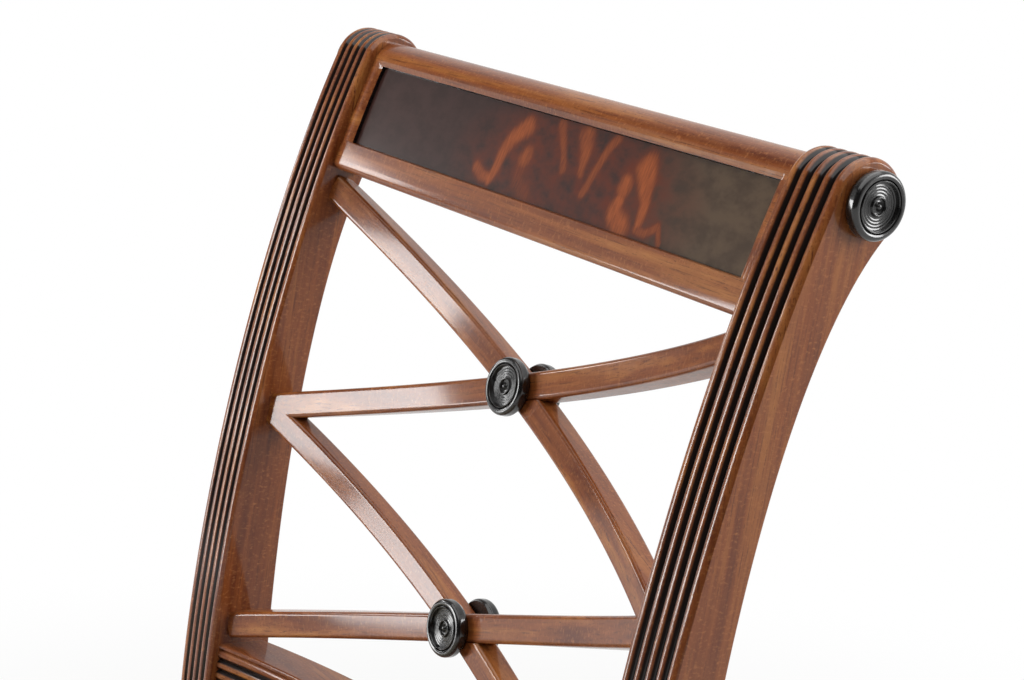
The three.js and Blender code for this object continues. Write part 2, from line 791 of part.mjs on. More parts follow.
// Section outlines as [across, back] pairs
function softSection(width, thick, round) {
  const [w, t] = [width / 2 - round, thick / 2 - round];
  return [[w, -t, -90], [w, t, 0], [-w, t, 90], [-w, -t, 180]].flatMap(([a, b, start]) =>
    [0, 45, 90].map((step) => {
      const angle = THREE.MathUtils.degToRad(start + step);
      return [a + round * Math.cos(angle), thick / 2 + b + round * Math.sin(angle)];
    }));
}

const squareSection = (half, near, far) => [[half, near], [half, far], [-half, far], [-half, near]];

function sweepBar(crossing, rightward, section) {
  const reach = halfInner + barThick;
  return loft(between(-reach, reach, barSteps, (x) => {
    const { centre, facing, across } = barFrame(crossing, rightward, x);
    return section.map(([a, b]) => centre.clone().addScaledVector(across, a).addScaledVector(facing, -b));
  }));
}

// Everything past the stiles' inner faces, and past the mitre where two bars meet in a V
const pastStile = block(halfInner - gap, halfInner + 2 * barThick, 0, depth, seatRailTop, height);
function mitreCut(above) {
  const box = new THREE.BoxGeometry(mitreZone, 2 * barFace, 2 * barFace);
  box.translate(0, 0, above ? barFace + gap / 2 : -barFace - gap / 2 + gap);
  const at = behindFront(halfInner - mitreZone / 2 + barThick, latticeMiddle, stubBack);
  return solid(box.rotateX(-leanAngle(latticeMiddle)).translate(at.x, at.y, at.z));
}

function dowelPlace({ low, high }) {
  const frame = barFrame({ low, high }, true, 0);
  return { at: frame.centre, way: frame.facing };
}

function latticeBar(crossing, rightward) {
  const passesInFront = rightward;
  const half = barFace / 2 + gap;
  const lap = passesInFront
    ? squareSection(half, (barThick - gap) / 2, barThick + overrun)
    : squareSection(half, -overrun, (barThick + gap) / 2);
  const { at, way } = dowelPlace(crossing);
  const vEnd = (crossing.name === "upper") === rightward ? -1 : 1;
  const mitre = mitreCut(crossing.name === "lower");
  const body = cut(
    sweepBar(crossing, rightward, softSection(barFace, barThick, barRound)),
    sweepBar(crossing, !rightward, lap),
    ...onBothSides(pastStile),
    vEnd > 0 ? mitre : mirror(mitre),
    rod(dowelRadius + gap, -2 * barThick, barThick, dowelSides, at, way),
  );
  const isUpper = crossing.name === "upper";
  const plainZ = isUpper ? stubPlaces[0] : stubPlaces[3];
  const vZ = isUpper ? stubPlaces[1] : stubPlaces[2];
  const plainStub = latticeStub(plainZ, 0);
  const vStub = latticeStub(vZ, 0);
  return vEnd > 0 ? join(body, vStub, mirror(plainStub)) : join(body, mirror(vStub), plainStub);
}

for (const crossing of crossings) {
  addPiece(`lattice_bar_${crossing.name}_rising_right`, latticeBar(crossing, true), mahogany);
  addPiece(`lattice_bar_${crossing.name}_rising_left`, latticeBar(crossing, false), mahogany);
}

// Turned discs: a bead round the rim, a thin ring, a dished face and a small centre button
const discShares = [
  [1, 0.1], [1, 0.66], [0.94, 0.95], [0.86, 0.95], [0.8, 0.78], [0.75, 0.96], [0.7, 0.7],
  [0.45, 0.6], [0.28, 0.8], [0.18, 0.62], [0.08, 0.86],
];
const discFace = discShares.map(([r, h]) => [r * discRadius, h * discProud]);
const socketRadius = dowelRadius + gap;
const rosetteProfile = [
  [0, dowelInDisc + gap], [socketRadius, dowelInDisc + gap], [socketRadius, 0], [discRadius - arris, 0],
  ...discFace, [0, discFace.at(-1)[1]],
];
const roundelProfile = [
  [0, -spigotLength], [spigotRadius, -spigotLength], [spigotRadius, 0], [discRadius - arris, 0],
  ...discFace, [0, discFace.at(-1)[1]],
];

// The front discs stand clear of the hollow that the bow gives the bars' front faces.
const discSeat = gap + (bow(0, latticeBow) - bow(2 * discRadius, latticeBow)) / 2;

for (const crossing of crossings) {
  const { at, way } = dowelPlace(crossing);
  const frontSeat = at.clone().addScaledVector(way, discSeat);
  const rearSeat = at.clone().addScaledVector(way, -barThick - gap);
  const opposite = way.clone().negate();
  const rosette = (seat, facing) => turned(rosetteProfile, discSides, seat, facing);
  addPiece(`rosette_${crossing.name}_front`, rosette(frontSeat, way), ebonised);
  addPiece(`rosette_${crossing.name}_rear`, rosette(rearSeat, opposite), ebonised);
  const ends = [-barThick - gap - dowelInDisc, gap + dowelInDisc];
  addPiece(`crossing_dowel_${crossing.name}`, rod(dowelRadius, ...ends, dowelSides, at, way), beech);
}
const roundelAt = roundelSeat.clone().addScaledVector(outward, gap);
addPair("scroll_roundel", turned(roundelProfile, discSides, roundelAt, outward), ebonised);

// The cushion's plan at an inset, with rounded corners
function cushionRing(inset, z) {
  const plan = seatPlan(-inset);
  const round = Math.max(cushionCorner - inset / 2, cushionCorner / 2);
  return plan.flatMap(([x, y], i) => {
    const [before, after] = [plan[(i + 3) % 4], plan[(i + 1) % 4]];
    const corner = new THREE.Vector2(x, y);
    const towards = ([px, py]) => new THREE.Vector2(px, py).sub(corner).normalize().multiplyScalar(round);
    const curve = new THREE.QuadraticBezierCurve(
      corner.clone().add(towards(before)), corner, corner.clone().add(towards(after)));
    return between(0, 1, cushionPoints - 1, (t) => {
      const point = curve.getPoint(t);
      return new THREE.Vector3(point.x, point.y, z);
    });
  });
}

// Drop-in seat frame, halved together at the corners and rounded there to fit the cover
const frameZ0 = ledge + gap;
const frameZ1 = frameZ0 + frameThick;
const frameMiddle = (frameZ0 + frameZ1) / 2;
const frameInset = coverThick + gap;
const framePlan = seatPlan(-frameInset);
const frameFront = framePlan[0][1];
const frameRear = framePlan[2][1];
const frameSide = (y) => sideInnerX(y) - seatEase - frameInset;

function crossMember(y0, y1) {
  const plan = [[-frameSide(y0), y0], [frameSide(y0), y0], [frameSide(y1), y1], [-frameSide(y1), y1]];
  return upright(plan, frameZ0, frameZ1).intersect(frameRoom);
}

function sideMember(z0, z1, grow) {
  const [front, rear] = [frameFront - grow, frameRear + grow];
  const plan = [
    [frameSide(frameFront) + grow, front],
    [frameSide(frameRear) + grow, rear],
    [frameSide(frameRear) - frameWidth - grow, rear],
    [frameSide(frameFront) - frameWidth - grow, front],
  ];
  return upright(plan, z0, z1);
}

const frameRoom = loft([
  cushionRing(frameInset, frameZ0 - overrun),
  cushionRing(frameInset, frameZ1 + overrun),
]);
const crossEnds = {
  front: [frameFront, frameFront + frameWidth],
  rear: [frameRear - frameWidth, frameRear],
};
const sideLaps = onBothSides(sideMember(frameZ0 - overrun, frameMiddle + gap / 2, gap));
for (const [name, [y0, y1]] of Object.entries(crossEnds)) {
  addPiece(`seat_frame_${name}`, cut(crossMember(y0, y1), ...sideLaps), beech);
}
const crossLaps = Object.values(crossEnds).map(([y0, y1]) =>
  block(-halfFront, halfFront, y0 - gap, y1 + gap, frameMiddle - gap / 2, frameZ1 + overrun));
addPair("seat_frame", cut(sideMember(frameZ0, frameZ1, 0).intersect(frameRoom), ...crossLaps), beech);

// Webbing: strips from front to back, and strips across on top of them
const webZ = frameZ1 + gap;
const webInset = frameWidth / 3;
for (let i = 0; i < webCount; i++) {
  const share = (i + 1) / (webCount + 1) - 1 / 2;
  const x = 2 * frameSide(frameRear) * share;
  const y = THREE.MathUtils.lerp(frameFront, frameRear, share + 1 / 2);
  const half = webWidth / 2;
  addPiece(`webbing_lengthways_${i + 1}`,
    block(x - half, x + half, frameFront + webInset, frameRear - webInset, webZ, webZ + webThick), jute);
  const reach = frameSide(y + half) - webInset;
  addPiece(`webbing_across_${i + 1}`,
    block(-reach, reach, y - half, y + half, webZ + webThick + gap, webZ + 2 * webThick + gap), jute);
}

// Rings of the crown: a rounded edge at its own height, then a shallow dome
const crownShares = [
  [0, 0], [0.03, 0.3], [0.1, 0.55], [0.24, 0.74], [0.42, 0.88], [0.66, 0.97], [0.88, 1],
];
function crownRings(inset, edgeZ, topZ) {
  const reach = (frameRear - frameFront) / 2 - inset - padEdge / 2;
  return crownShares.map(([inShare, upShare]) =>
    cushionRing(inset + inShare * reach, THREE.MathUtils.lerp(edgeZ, topZ, upShare)));
}

const coverBottom = frameZ0 + gap;
const coverOuter = loft([
  cushionRing(0, coverBottom),
  cushionRing(0, seatRailTop),
  cushionRing(-cushionBulge, (seatRailTop + cushionEdge) / 2),
  ...crownRings(-cushionBulge / 2, cushionEdge, cushionTop),
]);
const padZ0 = webZ + 2 * webThick + 2 * gap;
const coverInner = loft([
  cushionRing(coverThick, coverBottom - overrun),
  cushionRing(coverThick, seatRailTop),
  cushionRing(coverThick - cushionBulge, (seatRailTop + cushionEdge) / 2),
  ...crownRings(coverThick - cushionBulge / 2, cushionEdge - coverThick, cushionTop - coverThick),
]);
addPiece("seat_cover", cut(coverOuter, coverInner), fabric);
const padInset = coverThick + gap;
addPiece("seat_pad", loft([
  cushionRing(padInset, padZ0),
  ...crownRings(padInset, cushionEdge - padInset, cushionTop - padInset),
]), foam);
const liningZ = frameZ0 - gap;
addPiece("seat_lining", upright(seatPlan(-liningInset), liningZ - liningThick, liningZ), lining);

// Glides
const glideTop = glideHeight + glidePinLength;
const glideProfile = [
  [0, 0], [glideTread, 0], [glideRadius, glideChamfer], [glideRadius, glideHeight],
  [glidePinRadius, glideHeight], [glidePinRadius, glideTop], [0, glideTop],
];
addPair("glide_front", turned(glideProfile, glideSides, frontGlideAt, up), nylon);
addPair("glide_rear", turned(glideProfile, glideSides, rearGlideAt, up), nylon);

export default chair;
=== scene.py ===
# A dining chair with a double X lattice back between reeded, scrolled stiles, sabre legs and a drop-in seat.
# Points are worked out in millimetres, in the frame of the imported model, and every mesh is made in metres.
import math

import bmesh
import bpy
import numpy as np
from mathutils import Matrix, Vector


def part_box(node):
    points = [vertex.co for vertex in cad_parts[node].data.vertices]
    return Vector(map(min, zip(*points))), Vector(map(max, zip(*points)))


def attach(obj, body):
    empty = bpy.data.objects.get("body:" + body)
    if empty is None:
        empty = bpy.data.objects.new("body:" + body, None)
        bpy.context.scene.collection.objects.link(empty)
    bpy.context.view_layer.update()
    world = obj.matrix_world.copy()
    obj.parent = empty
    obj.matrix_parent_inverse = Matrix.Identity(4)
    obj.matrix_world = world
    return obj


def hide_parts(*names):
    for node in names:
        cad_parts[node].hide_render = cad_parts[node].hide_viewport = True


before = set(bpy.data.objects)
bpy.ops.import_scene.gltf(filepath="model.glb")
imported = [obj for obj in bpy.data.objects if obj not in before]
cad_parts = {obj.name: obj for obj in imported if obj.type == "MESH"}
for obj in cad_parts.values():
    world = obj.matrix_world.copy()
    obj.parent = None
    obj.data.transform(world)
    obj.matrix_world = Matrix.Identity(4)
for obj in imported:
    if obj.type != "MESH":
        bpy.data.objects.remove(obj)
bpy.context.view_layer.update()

MM = 0.001

# Overall sizes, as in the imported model
HEIGHT = 865
DEPTH = 600
HALF_FRONT = 245
HALF_INNER = 195
SEAT_TOP = 437

# Stiles and their scrolls
STILE_WIDTH = 37.6
STILE_DEPTH = 44.2
SCROLL_RADIUS = 21.5
BACK_RAKE = 151.4
FRONT_LEAN, BACK_LEAN = 0.139, 0.108
FRONT_REACH, BACK_START, BACK_END = 0.32, 0.351, 0.217
SCROLL_FRONT = math.radians(29.2)
SCROLL_BACK = math.radians(50.4)
SCROLL_Y = DEPTH / 2 - SCROLL_RADIUS
SCROLL_Z = HEIGHT - SCROLL_RADIUS
SEAT_Y = SCROLL_Y - BACK_RAKE
RISE = SCROLL_Z - SEAT_TOP
HALF_OUTER = HALF_INNER + STILE_WIDTH
STILE_CENTRE = HALF_INNER + STILE_WIDTH / 2
FOOT_Z = 3.3

# Legs
REAR_FOOT = (31, 30)
REAR_SWEEP = 88
REAR_FOOT_LEAN = -0.43
REAR_LEG_REACHES = (0.3, 0.33)
FRONT_LEG = (40, 38)
FRONT_FOOT = (29, 30)
FRONT_SWEEP = 36
FRONT_LEG_LEANS = (0.42, -0.05)
FRONT_LEG_REACHES = (0.3, 0.34)
FRONT_LEG_Y = FRONT_SWEEP - DEPTH / 2
FRONT_LEG_BACK = FRONT_LEG_Y + FRONT_LEG[1]

# Reeding
REEDS = 5
RAIL_REEDS = 4
RAIL_PITCH = 7.9
REED_DEPTH = 2.2
GROOVE = 0.8
EDGE_ROUND = 1.3
RAIL_ROUND = 1.2
# How far reeds take to run out: below the seat, and round the back of the scroll
LEG_FADE = 30
SCROLL_FADE = math.radians(35)

# Crest rail and its sunk field
CREST_BOTTOM = 789.3
CREST_INSET = 5.5
CREST_EDGE = 3.5
FIELD_SIDE = 9.5
FIELD_BOTTOM = 16.8
FIELD_TOP = 851.5
FIELD_DEPTH = 4.2
FIELD_CHAMFER = 2
FIELD_BEVEL = 3.2
VENEER_THICK = 1.6

# Lattice and lower rail
BAR_FACE = 16.4
BAR_THICK = 15
BAR_ROUND = 2.6
BAR_SET_BACK = 10
BAR_BOW = 33
BAR_MIDDLE = 641
BAR_HIGH = 780
BAR_LOW = 499.2
MITRE_SPREAD = 1.2
HAIR = 0.02
LOWER_TOP = 487
LOWER_HEIGHT = 35
LOWER_THICK = 33.5
LOWER_SET_BACK = 5.5
LOWER_BOW = 40
LOWER_PITCH = 7.1

# Turned discs
DISC_RADIUS = 16.5
DISC_SIDES = 96
GLUE_LINE = 0.3

# Seat rails and the drop-in seat
RAIL_HEIGHT = 58
SIDE_RAIL_THICK = 26
RAIL_THICK = 24
RAIL_INSET = 3
SIDE_RAIL_END = 1.5
FRONT_RAIL_END = 0.5
SEAT_EASE = 3
SEAT_REAR_EASE = 5
LEDGE = 425
CUSHION_TOP = 474
CUSHION_EDGE = 456
CUSHION_OVERLAP = 1.2
CUSHION_CORNER = 22
LINING_INSET = 22
LINING_THICK = 0.6
LINING_SAG = 2.5


# Curves

def unit(vector):
    return vector / np.linalg.norm(vector)


def bezier(curve, t):
    a, b, c, d = curve
    s = 1 - t
    return s**3 * a + 3 * s * s * t * b + 3 * s * t * t * c + t**3 * d


def heading(curve, t):
    """The direction of a curve, as a unit vector."""
    a, b, c, d = curve
    s = 1 - t
    return unit(s * s * (b - a) + 2 * s * t * (c - b) + t * t * (d - c))


def lean_curve(y0, z0, lean0, reach0, y1, z1, lean1, reach1):
    """A side view curve. A lean is how far back it goes for its rise."""
    return np.array(
        [(y0, z0), (y0 + lean0 * reach0, z0 + reach0), (y1 - lean1 * reach1, z1 - reach1), (y1, z1)], float
    )


def bisect(low, high, too_low):
    for _ in range(40):
        middle = (low + high) / 2
        low, high = (middle, high) if too_low(middle) else (low, middle)
    return (low + high) / 2


def scroll_point(angle, radius=SCROLL_RADIUS):
    return np.array([SCROLL_Y + radius * math.cos(angle), SCROLL_Z + radius * math.sin(angle)])


STILE_FRONT = lean_curve(
    SEAT_Y, SEAT_TOP, FRONT_LEAN, FRONT_REACH * RISE,
    *scroll_point(math.pi - SCROLL_FRONT), math.tan(SCROLL_FRONT), FRONT_REACH * RISE * math.cos(SCROLL_FRONT),
)
STILE_BACK = lean_curve(
    SEAT_Y + STILE_DEPTH, SEAT_TOP, BACK_LEAN, BACK_START * RISE,
    *scroll_point(-SCROLL_BACK), math.tan(SCROLL_BACK), BACK_END * RISE * math.cos(SCROLL_BACK),
)


def back_path(u):
    """The back of a stile for u from 0 to 1, then on round the scroll for u from 1 to 2."""
    if u <= 1:
        return bezier(STILE_BACK, u)
    return scroll_point(-SCROLL_BACK + (u - 1) * (SCROLL_BACK - SCROLL_FRONT))


def square_behind(t):
    start, way = bezier(STILE_FRONT, t), heading(STILE_FRONT, t)
    return bisect(0, 2, lambda u: np.dot(back_path(u) - start, way) < 0)


def into_stile(t, depth=0.0):
    """A point at a depth behind the stile's front, in the side view, and the way into the wood."""
    way = heading(STILE_FRONT, t)
    into = np.array([way[1], -way[0]])
    return bezier(STILE_FRONT, t) + into * depth, into


def stile_at(z):
    """The stile's front at a height: curve parameter, point, direction up and direction into the wood."""
    t = bisect(0, 1, lambda share: bezier(STILE_FRONT, share)[1] < z)
    point, into = into_stile(t)
    return t, point, heading(STILE_FRONT, t), into


def bow(x, sag):
    """How far a bowed rail or bar lies behind its ends."""
    sweep = (HALF_INNER**2 + sag**2) / (2 * sag)
    return math.sqrt(sweep**2 - x * x) - sweep + sag


# Meshes

def evaluated(piece):
    """The piece's mesh with its modifiers worked in, which are then removed."""
    graph = bpy.context.evaluated_depsgraph_get()
    made = bpy.data.meshes.new_from_object(piece.evaluated_get(graph), depsgraph=graph)
    piece.modifiers.clear()
    old, piece.data = piece.data, made
    made.name = piece.name
    bpy.data.meshes.remove(old)
    return piece


def modified(piece, kind, **settings):
    """The piece after one modifier."""
    step = piece.modifiers.new(kind.title(), kind)
    for key, value in settings.items():
        setattr(step, key, value)
    return evaluated(piece)


def in_scene(name, data):
    thing = bpy.data.objects.new(name, data)
    bpy.context.scene.collection.objects.link(thing)
    return thing


def new_piece(name, points, faces, edges=(), attributes=None):
    """An object from points in millimetres. Attributes hold one float or vector for each point."""
    mesh = bpy.data.meshes.new(name)
    mesh.from_pydata((np.asarray(points) * MM).tolist(), list(edges), list(faces))
    for key, values in (attributes or {}).items():
        values = np.asarray(values, float)
        kind, field = ("FLOAT_VECTOR", "vector") if values.ndim == 2 else ("FLOAT", "value")
        mesh.attributes.new(key, kind, "POINT").data.foreach_set(field, values.astype(np.float32).ravel())
    return in_scene(name, mesh)


def loft_faces(rows, count):
    """Faces of a closed tube of rows of points, and a face over each end."""
    faces = []
    for r in range(rows - 1):
        for i in range(count):
            a, b = r * count + i, r * count + (i + 1) % count
            faces.append((a, b, b + count, a + count))
    last = (rows - 1) * count
    return [*faces, tuple(reversed(range(count))), tuple(range(last, last + count))]


def cleaned(piece, weld=0.00001):
    """Merges what lies together and turns the faces outwards."""
    work = bmesh.new()
    work.from_mesh(piece.data)
    bmesh.ops.remove_doubles(work, verts=work.verts, dist=weld)
    bmesh.ops.dissolve_degenerate(work, edges=work.edges, dist=weld)
    bmesh.ops.recalc_face_normals(work, faces=work.faces)
    work.to_mesh(piece.data)
    work.free()
    return piece


def shaded(piece, angle=32):
    """Smooth shading that keeps flat faces flat and edges over the angle crisp."""
    piece.data.shade_smooth()
    piece.data.set_sharp_from_angle(angle=math.radians(angle))
    modified(piece, "WEIGHTED_NORMAL", keep_sharp=True)


def grained(piece, along, through=(0, -1, 0), shift=0.0):
    """Stores where each point lies in its plank, in metres: along the grain, across it and through the plank."""
    along = Vector(along).normalized()
    across = Vector(through).cross(along).normalized()
    turn = np.array([along, across, along.cross(across)])
    place = np.array([v.co for v in piece.data.vertices], float) @ turn.T
    place += np.array([shift, 0.61 * shift, 0.37 * shift])
    store = piece.data.attributes.new("grain", "FLOAT_VECTOR", "POINT")
    store.data.foreach_set("vector", place.astype(np.float32).ravel())


def cut_with(piece, *tools):
    """Cuts the tools' shapes out of the piece and removes the tools."""
    for tool in tools:
        modified(piece, "BOOLEAN", operation="DIFFERENCE", solver="EXACT", object=tool)
        bpy.data.objects.remove(tool)
    return piece


# Nodes

def linear(code):
    """An sRGB hex colour as linear values."""
    parts = [int(code[i:i + 2], 16) / 255 for i in (1, 3, 5)]
    return (*(c / 12.92 if c <= 0.04045 else ((c + 0.055) / 1.055) ** 2.4 for c in parts), 1.0)


def add(tree, kind, inputs=None, stops=None, **settings):
    """Adds a node. Inputs are values or other nodes' outputs; stops are a ramp's places and colours."""
    node = tree.nodes.new(kind)
    for key, value in settings.items():
        setattr(node, key, value)
    for key, value in (inputs or {}).items():
        if isinstance(value, bpy.types.NodeSocket):
            tree.links.new(value, node.inputs[key])
        else:
            node.inputs[key].default_value = value
    if stops:
        ramp = node.color_ramp.elements
        while len(ramp) < len(stops):
            ramp.new(1)
        for element, (place, code) in zip(ramp, stops):
            element.position, element.color = place, linear(code)
    return node


def new_material(name, **surface):
    """A material with one surface shader, whose plain values are set on its own sockets."""
    material = bpy.data.materials.new(name)
    material.use_nodes = True
    tree = material.node_tree
    shader = tree.nodes["Principled BSDF"]
    for key, value in surface.items():
        shader.inputs[key.replace("_", " ")].default_value = value
    return material, tree, shader


def painted(tree, base, *layers):
    """Lays colours over a base. Each comes in as its pattern's value goes from low to high, up to its most."""
    for value, low, high, most, code in layers:
        share = add(
            tree, "ShaderNodeMapRange", {"Value": value, "From Min": low, "From Max": high, "To Max": most},
            interpolation_type="SMOOTHSTEP",
        ).outputs[0]
        base = add(tree, "ShaderNodeMix", {0: share, 6: base, 7: linear(code)}, data_type="RGBA").outputs[2]
    return base


def stretched_noise(tree, place, lengths, detail=2.0, rough=0.5, shift=(0, 0, 0)):
    """Noise whose lumps have these lengths in millimetres."""
    scale = tuple(1 / (size * MM) for size in lengths)
    spread = add(tree, "ShaderNodeMapping", {"Vector": place, "Scale": scale, "Location": shift})
    return add(
        tree, "ShaderNodeTexNoise",
        {"Vector": spread.outputs[0], "Scale": 1.0, "Detail": detail, "Roughness": rough},
    ).outputs["Fac"]


def mahogany():
    """Stained mahogany under a French polish: dark pores along the grain, broad ribbon stripes and a soft gloss."""
    material, tree, shader = new_material(
        "french_polished_mahogany", Roughness=0.42, IOR=1.5, Specular_IOR_Level=0.08, Coat_Weight=0.7,
        Coat_Roughness=0.11, Coat_IOR=1.5,
    )
    place = add(tree, "ShaderNodeAttribute", attribute_name="grain").outputs["Vector"]
    ribbon = stretched_noise(tree, place, (190, 9, 14), 3, 0.55)
    mottle = stretched_noise(tree, place, (16, 11, 11), 3, 0.6, (3, 0, 0))
    streak = stretched_noise(tree, place, (34, 1.1, 1.6), 4, 0.6)
    # Pores are 0.1 mm wide in the wood and drawn 0.35 mm wide, so that they show.
    pore = stretched_noise(tree, place, (3.6, 0.35, 0.5), 2, 0.5)
    beeswing = stretched_noise(tree, place, (1.6, 3.2, 1.6), 2, 0.6, (7, 2, 0))
    stripes = add(
        tree, "ShaderNodeValToRGB", {"Fac": ribbon},
        stops=[(0.3, "#5c2a13"), (0.5, "#7f4420"), (0.7, "#a56a35")],
    ).outputs[0]
    # The polish darkens grooves near black, and that colour also paints the shade that falls in them, but not on the
    # flat ends that their lines run out on.
    sunk = add(tree, "ShaderNodeAttribute", attribute_name="sunk").outputs["Fac"]
    normal = add(tree, "ShaderNodeNewGeometry").outputs["Normal"]
    upward = add(tree, "ShaderNodeSeparateXYZ", {0: normal}).outputs[2]
    polish_and_shade_kept = add(
        tree, "ShaderNodeMapRange", {"Value": upward, "From Min": 0.97, "From Max": 0.9},
        interpolation_type="SMOOTHSTEP",
    ).outputs[0]
    colour = painted(
        tree, stripes, (mottle, 0.38, 0.68, 0.45, "#7c4624"), (streak, 0.52, 0.72, 1.0, "#5c2f17"),
        (beeswing, 0.48, 0.95, 1.0, "#a5683a"), (pore, 0.6, 0.78, 1.0, "#43200f"),
        (sunk, 0.03, 0.3, polish_and_shade_kept, "#140804"),
    )
    tree.links.new(colour, shader.inputs["Base Color"])
    height = add(tree, "ShaderNodeMath", {0: pore, 1: streak}, operation="ADD").outputs[0]
    bump = add(tree, "ShaderNodeBump", {"Height": height, "Strength": 0.012, "Distance": 0.0002}, invert=True)
    tree.links.new(bump.outputs[0], shader.inputs["Normal"])
    rough = add(
        tree, "ShaderNodeMapRange", {"Value": mottle, "From Min": 0.3, "From Max": 0.7, "To Min": 0.36, "To Max": 0.5}
    ).outputs[0]
    tree.links.new(rough, shader.inputs["Roughness"])
    return material


def flame_veneer():
    """Crotch mahogany veneer under a full gloss: near black ends, the right one lightened by a painted sheen, and soft
    plumes of lit grain between them.
    """
    material, tree, shader = new_material(
        "crotch_mahogany_veneer", Roughness=0.35, IOR=1.5, Specular_IOR_Level=0.05, Coat_Weight=0.6,
        Coat_Roughness=0.09, Coat_IOR=1.5,
    )
    place = add(tree, "ShaderNodeAttribute", attribute_name="grain").outputs["Vector"]
    plume = add(tree, "ShaderNodeAttribute", attribute_name="plume").outputs["Fac"]
    glow = add(tree, "ShaderNodeAttribute", attribute_name="glow").outputs["Fac"]
    fine = stretched_noise(tree, place, (1.2, 9, 2), 3, 0.6)
    cloud = stretched_noise(tree, place, (14, 9, 9), 3, 0.6)
    along = add(tree, "ShaderNodeSeparateXYZ", {0: place}).outputs[0]
    streaks = add(tree, "ShaderNodeMath", {0: fine, 1: 1.1, 2: 0.4}, operation="MULTIPLY_ADD").outputs[0]
    feathered = add(tree, "ShaderNodeMath", {0: plume, 1: streaks}, operation="MULTIPLY").outputs[0]
    # The ground is painted lighter and greyer towards the panel's right end: a painted sheen of the gloss.
    colour = painted(
        tree, linear("#382420"), (along, 0.05, 0.16, 1.0, "#544333"), (cloud, 0.35, 0.7, 0.45, "#1d0f0b"),
        (cloud, 0.75, 0.3, glow, "#5a2410"), (feathered, 0.0, 0.8, 1.0, "#5f2a13"),
        (feathered, 0.35, 1.3, 1.0, "#9c4f22"),
    )
    tree.links.new(colour, shader.inputs["Base Color"])
    return material


def ebonised():
    """Turned wood stained black and polished: a wet gloss, duller in patches where the polish is thin."""
    material, tree, shader = new_material(
        "ebonised_turned_wood", Roughness=0.3, IOR=1.5, Specular_IOR_Level=0.3, Coat_Weight=0.8, Coat_Roughness=0.1,
        Coat_IOR=1.5,
    )
    place = add(tree, "ShaderNodeTexCoord").outputs["Object"]
    dull = stretched_noise(tree, place, (5, 5, 5), 3, 0.6)
    colour = painted(tree, linear("#0a0909"), (dull, 0.4, 0.7, 1.0, "#171413"))
    tree.links.new(colour, shader.inputs["Base Color"])
    rough = add(
        tree, "ShaderNodeMapRange", {"Value": dull, "From Min": 0.3, "From Max": 0.7, "To Min": 0.22, "To Max": 0.36}
    ).outputs[0]
    tree.links.new(rough, shader.inputs["Roughness"])
    return material


def beech():
    """Planed beech, left bare inside the seat: pale, with short brown flecks."""
    material, tree, shader = new_material("planed_beech", Roughness=0.62, IOR=1.5)
    place = add(tree, "ShaderNodeTexCoord").outputs["Object"]
    broad = stretched_noise(tree, place, (60, 40, 9), 3, 0.5)
    fleck = stretched_noise(tree, place, (2.2, 2.2, 0.7), 1, 0.4)
    colour = painted(
        tree, linear("#c89d6e"), (broad, 0.35, 0.7, 1.0, "#b58656"), (fleck, 0.62, 0.7, 1.0, "#8a5d38")
    )
    tree.links.new(colour, shader.inputs["Base Color"])
    bump = add(tree, "ShaderNodeBump", {"Height": fleck, "Strength": 0.15, "Distance": 0.0002})
    tree.links.new(bump.outputs[0], shader.inputs["Normal"])
    return material


def woven(name, warp_code, weft_code, pitch, sheen, rough):
    """Plain woven cloth: threads one over one at a pitch in millimetres, soft and matt, with a faint bloom."""
    material, tree, shader = new_material(
        name, Roughness=rough, IOR=1.45, Sheen_Weight=sheen, Sheen_Roughness=0.4, Specular_IOR_Level=0.25
    )
    place = add(tree, "ShaderNodeTexCoord").outputs["Object"]
    waves = []
    for turned in (0, math.pi / 2):
        laid = add(tree, "ShaderNodeMapping", {"Vector": place, "Rotation": (0, 0, turned)}).outputs[0]
        waves.append(add(
            tree, "ShaderNodeTexWave",
            {"Vector": laid, "Scale": math.pi / 10 / (pitch * MM), "Distortion": 0.6,
             "Detail": 1.0, "Detail Scale": 3.0},
            wave_type="BANDS", bands_direction="X",
        ).outputs["Fac"])
    over = add(tree, "ShaderNodeMath", {0: waves[0], 1: waves[1]}, operation="MULTIPLY").outputs[0]
    slub = stretched_noise(tree, place, (14, 2, 14), 2, 0.5)
    threads = add(
        tree, "ShaderNodeMix", {0: waves[0], 6: linear(warp_code), 7: linear(weft_code)}, data_type="RGBA"
    ).outputs[2]
    tree.links.new(painted(tree, threads, (slub, 0.35, 0.75, 1.0, weft_code)), shader.inputs["Base Color"])
    bump = add(tree, "ShaderNodeBump", {"Height": over, "Strength": 0.35, "Distance": 0.0004})
    tree.links.new(bump.outputs[0], shader.inputs["Normal"])
    return material


def scuffed(name, grit, low_code, high_code, **surface):
    """A plain material with fine wear, as grit in millimetres."""
    material, tree, shader = new_material(name, **surface)
    place = add(tree, "ShaderNodeTexCoord").outputs["Object"]
    wear = stretched_noise(tree, place, (grit, grit, grit), 4, 0.7)
    colour = add(
        tree, "ShaderNodeMix", {0: wear, 6: linear(low_code), 7: linear(high_code)}, data_type="RGBA"
    ).outputs[2]
    tree.links.new(colour, shader.inputs["Base Color"])
    return material


WOOD = mahogany()
FLAME = flame_veneer()
BLACK = ebonised()
BEECH = beech()
JUTE = woven("jute_webbing", "#a98a5c", "#8b6d42", 2.4, 0.2, 0.95)
SEAT_CLOTH = woven("ivory_wool_cloth", "#d6cfbe", "#c2b8a2", 1.3, 0.35, 0.9)
LINING = woven("black_lining_cotton", "#25211e", "#171412", 1.1, 0.2, 0.95)
# Screw steel under dull zinc, finely scratched, and moulded dark nylon, scuffed by the floor.
STEEL = scuffed("zinc_plated_steel", 0.6, "#8f9294", "#b2b4b2", Metallic=1.0, Roughness=0.38)
NYLON = scuffed("moulded_nylon", 1.5, "#241f1c", "#3a332e", Roughness=0.5, IOR=1.53)


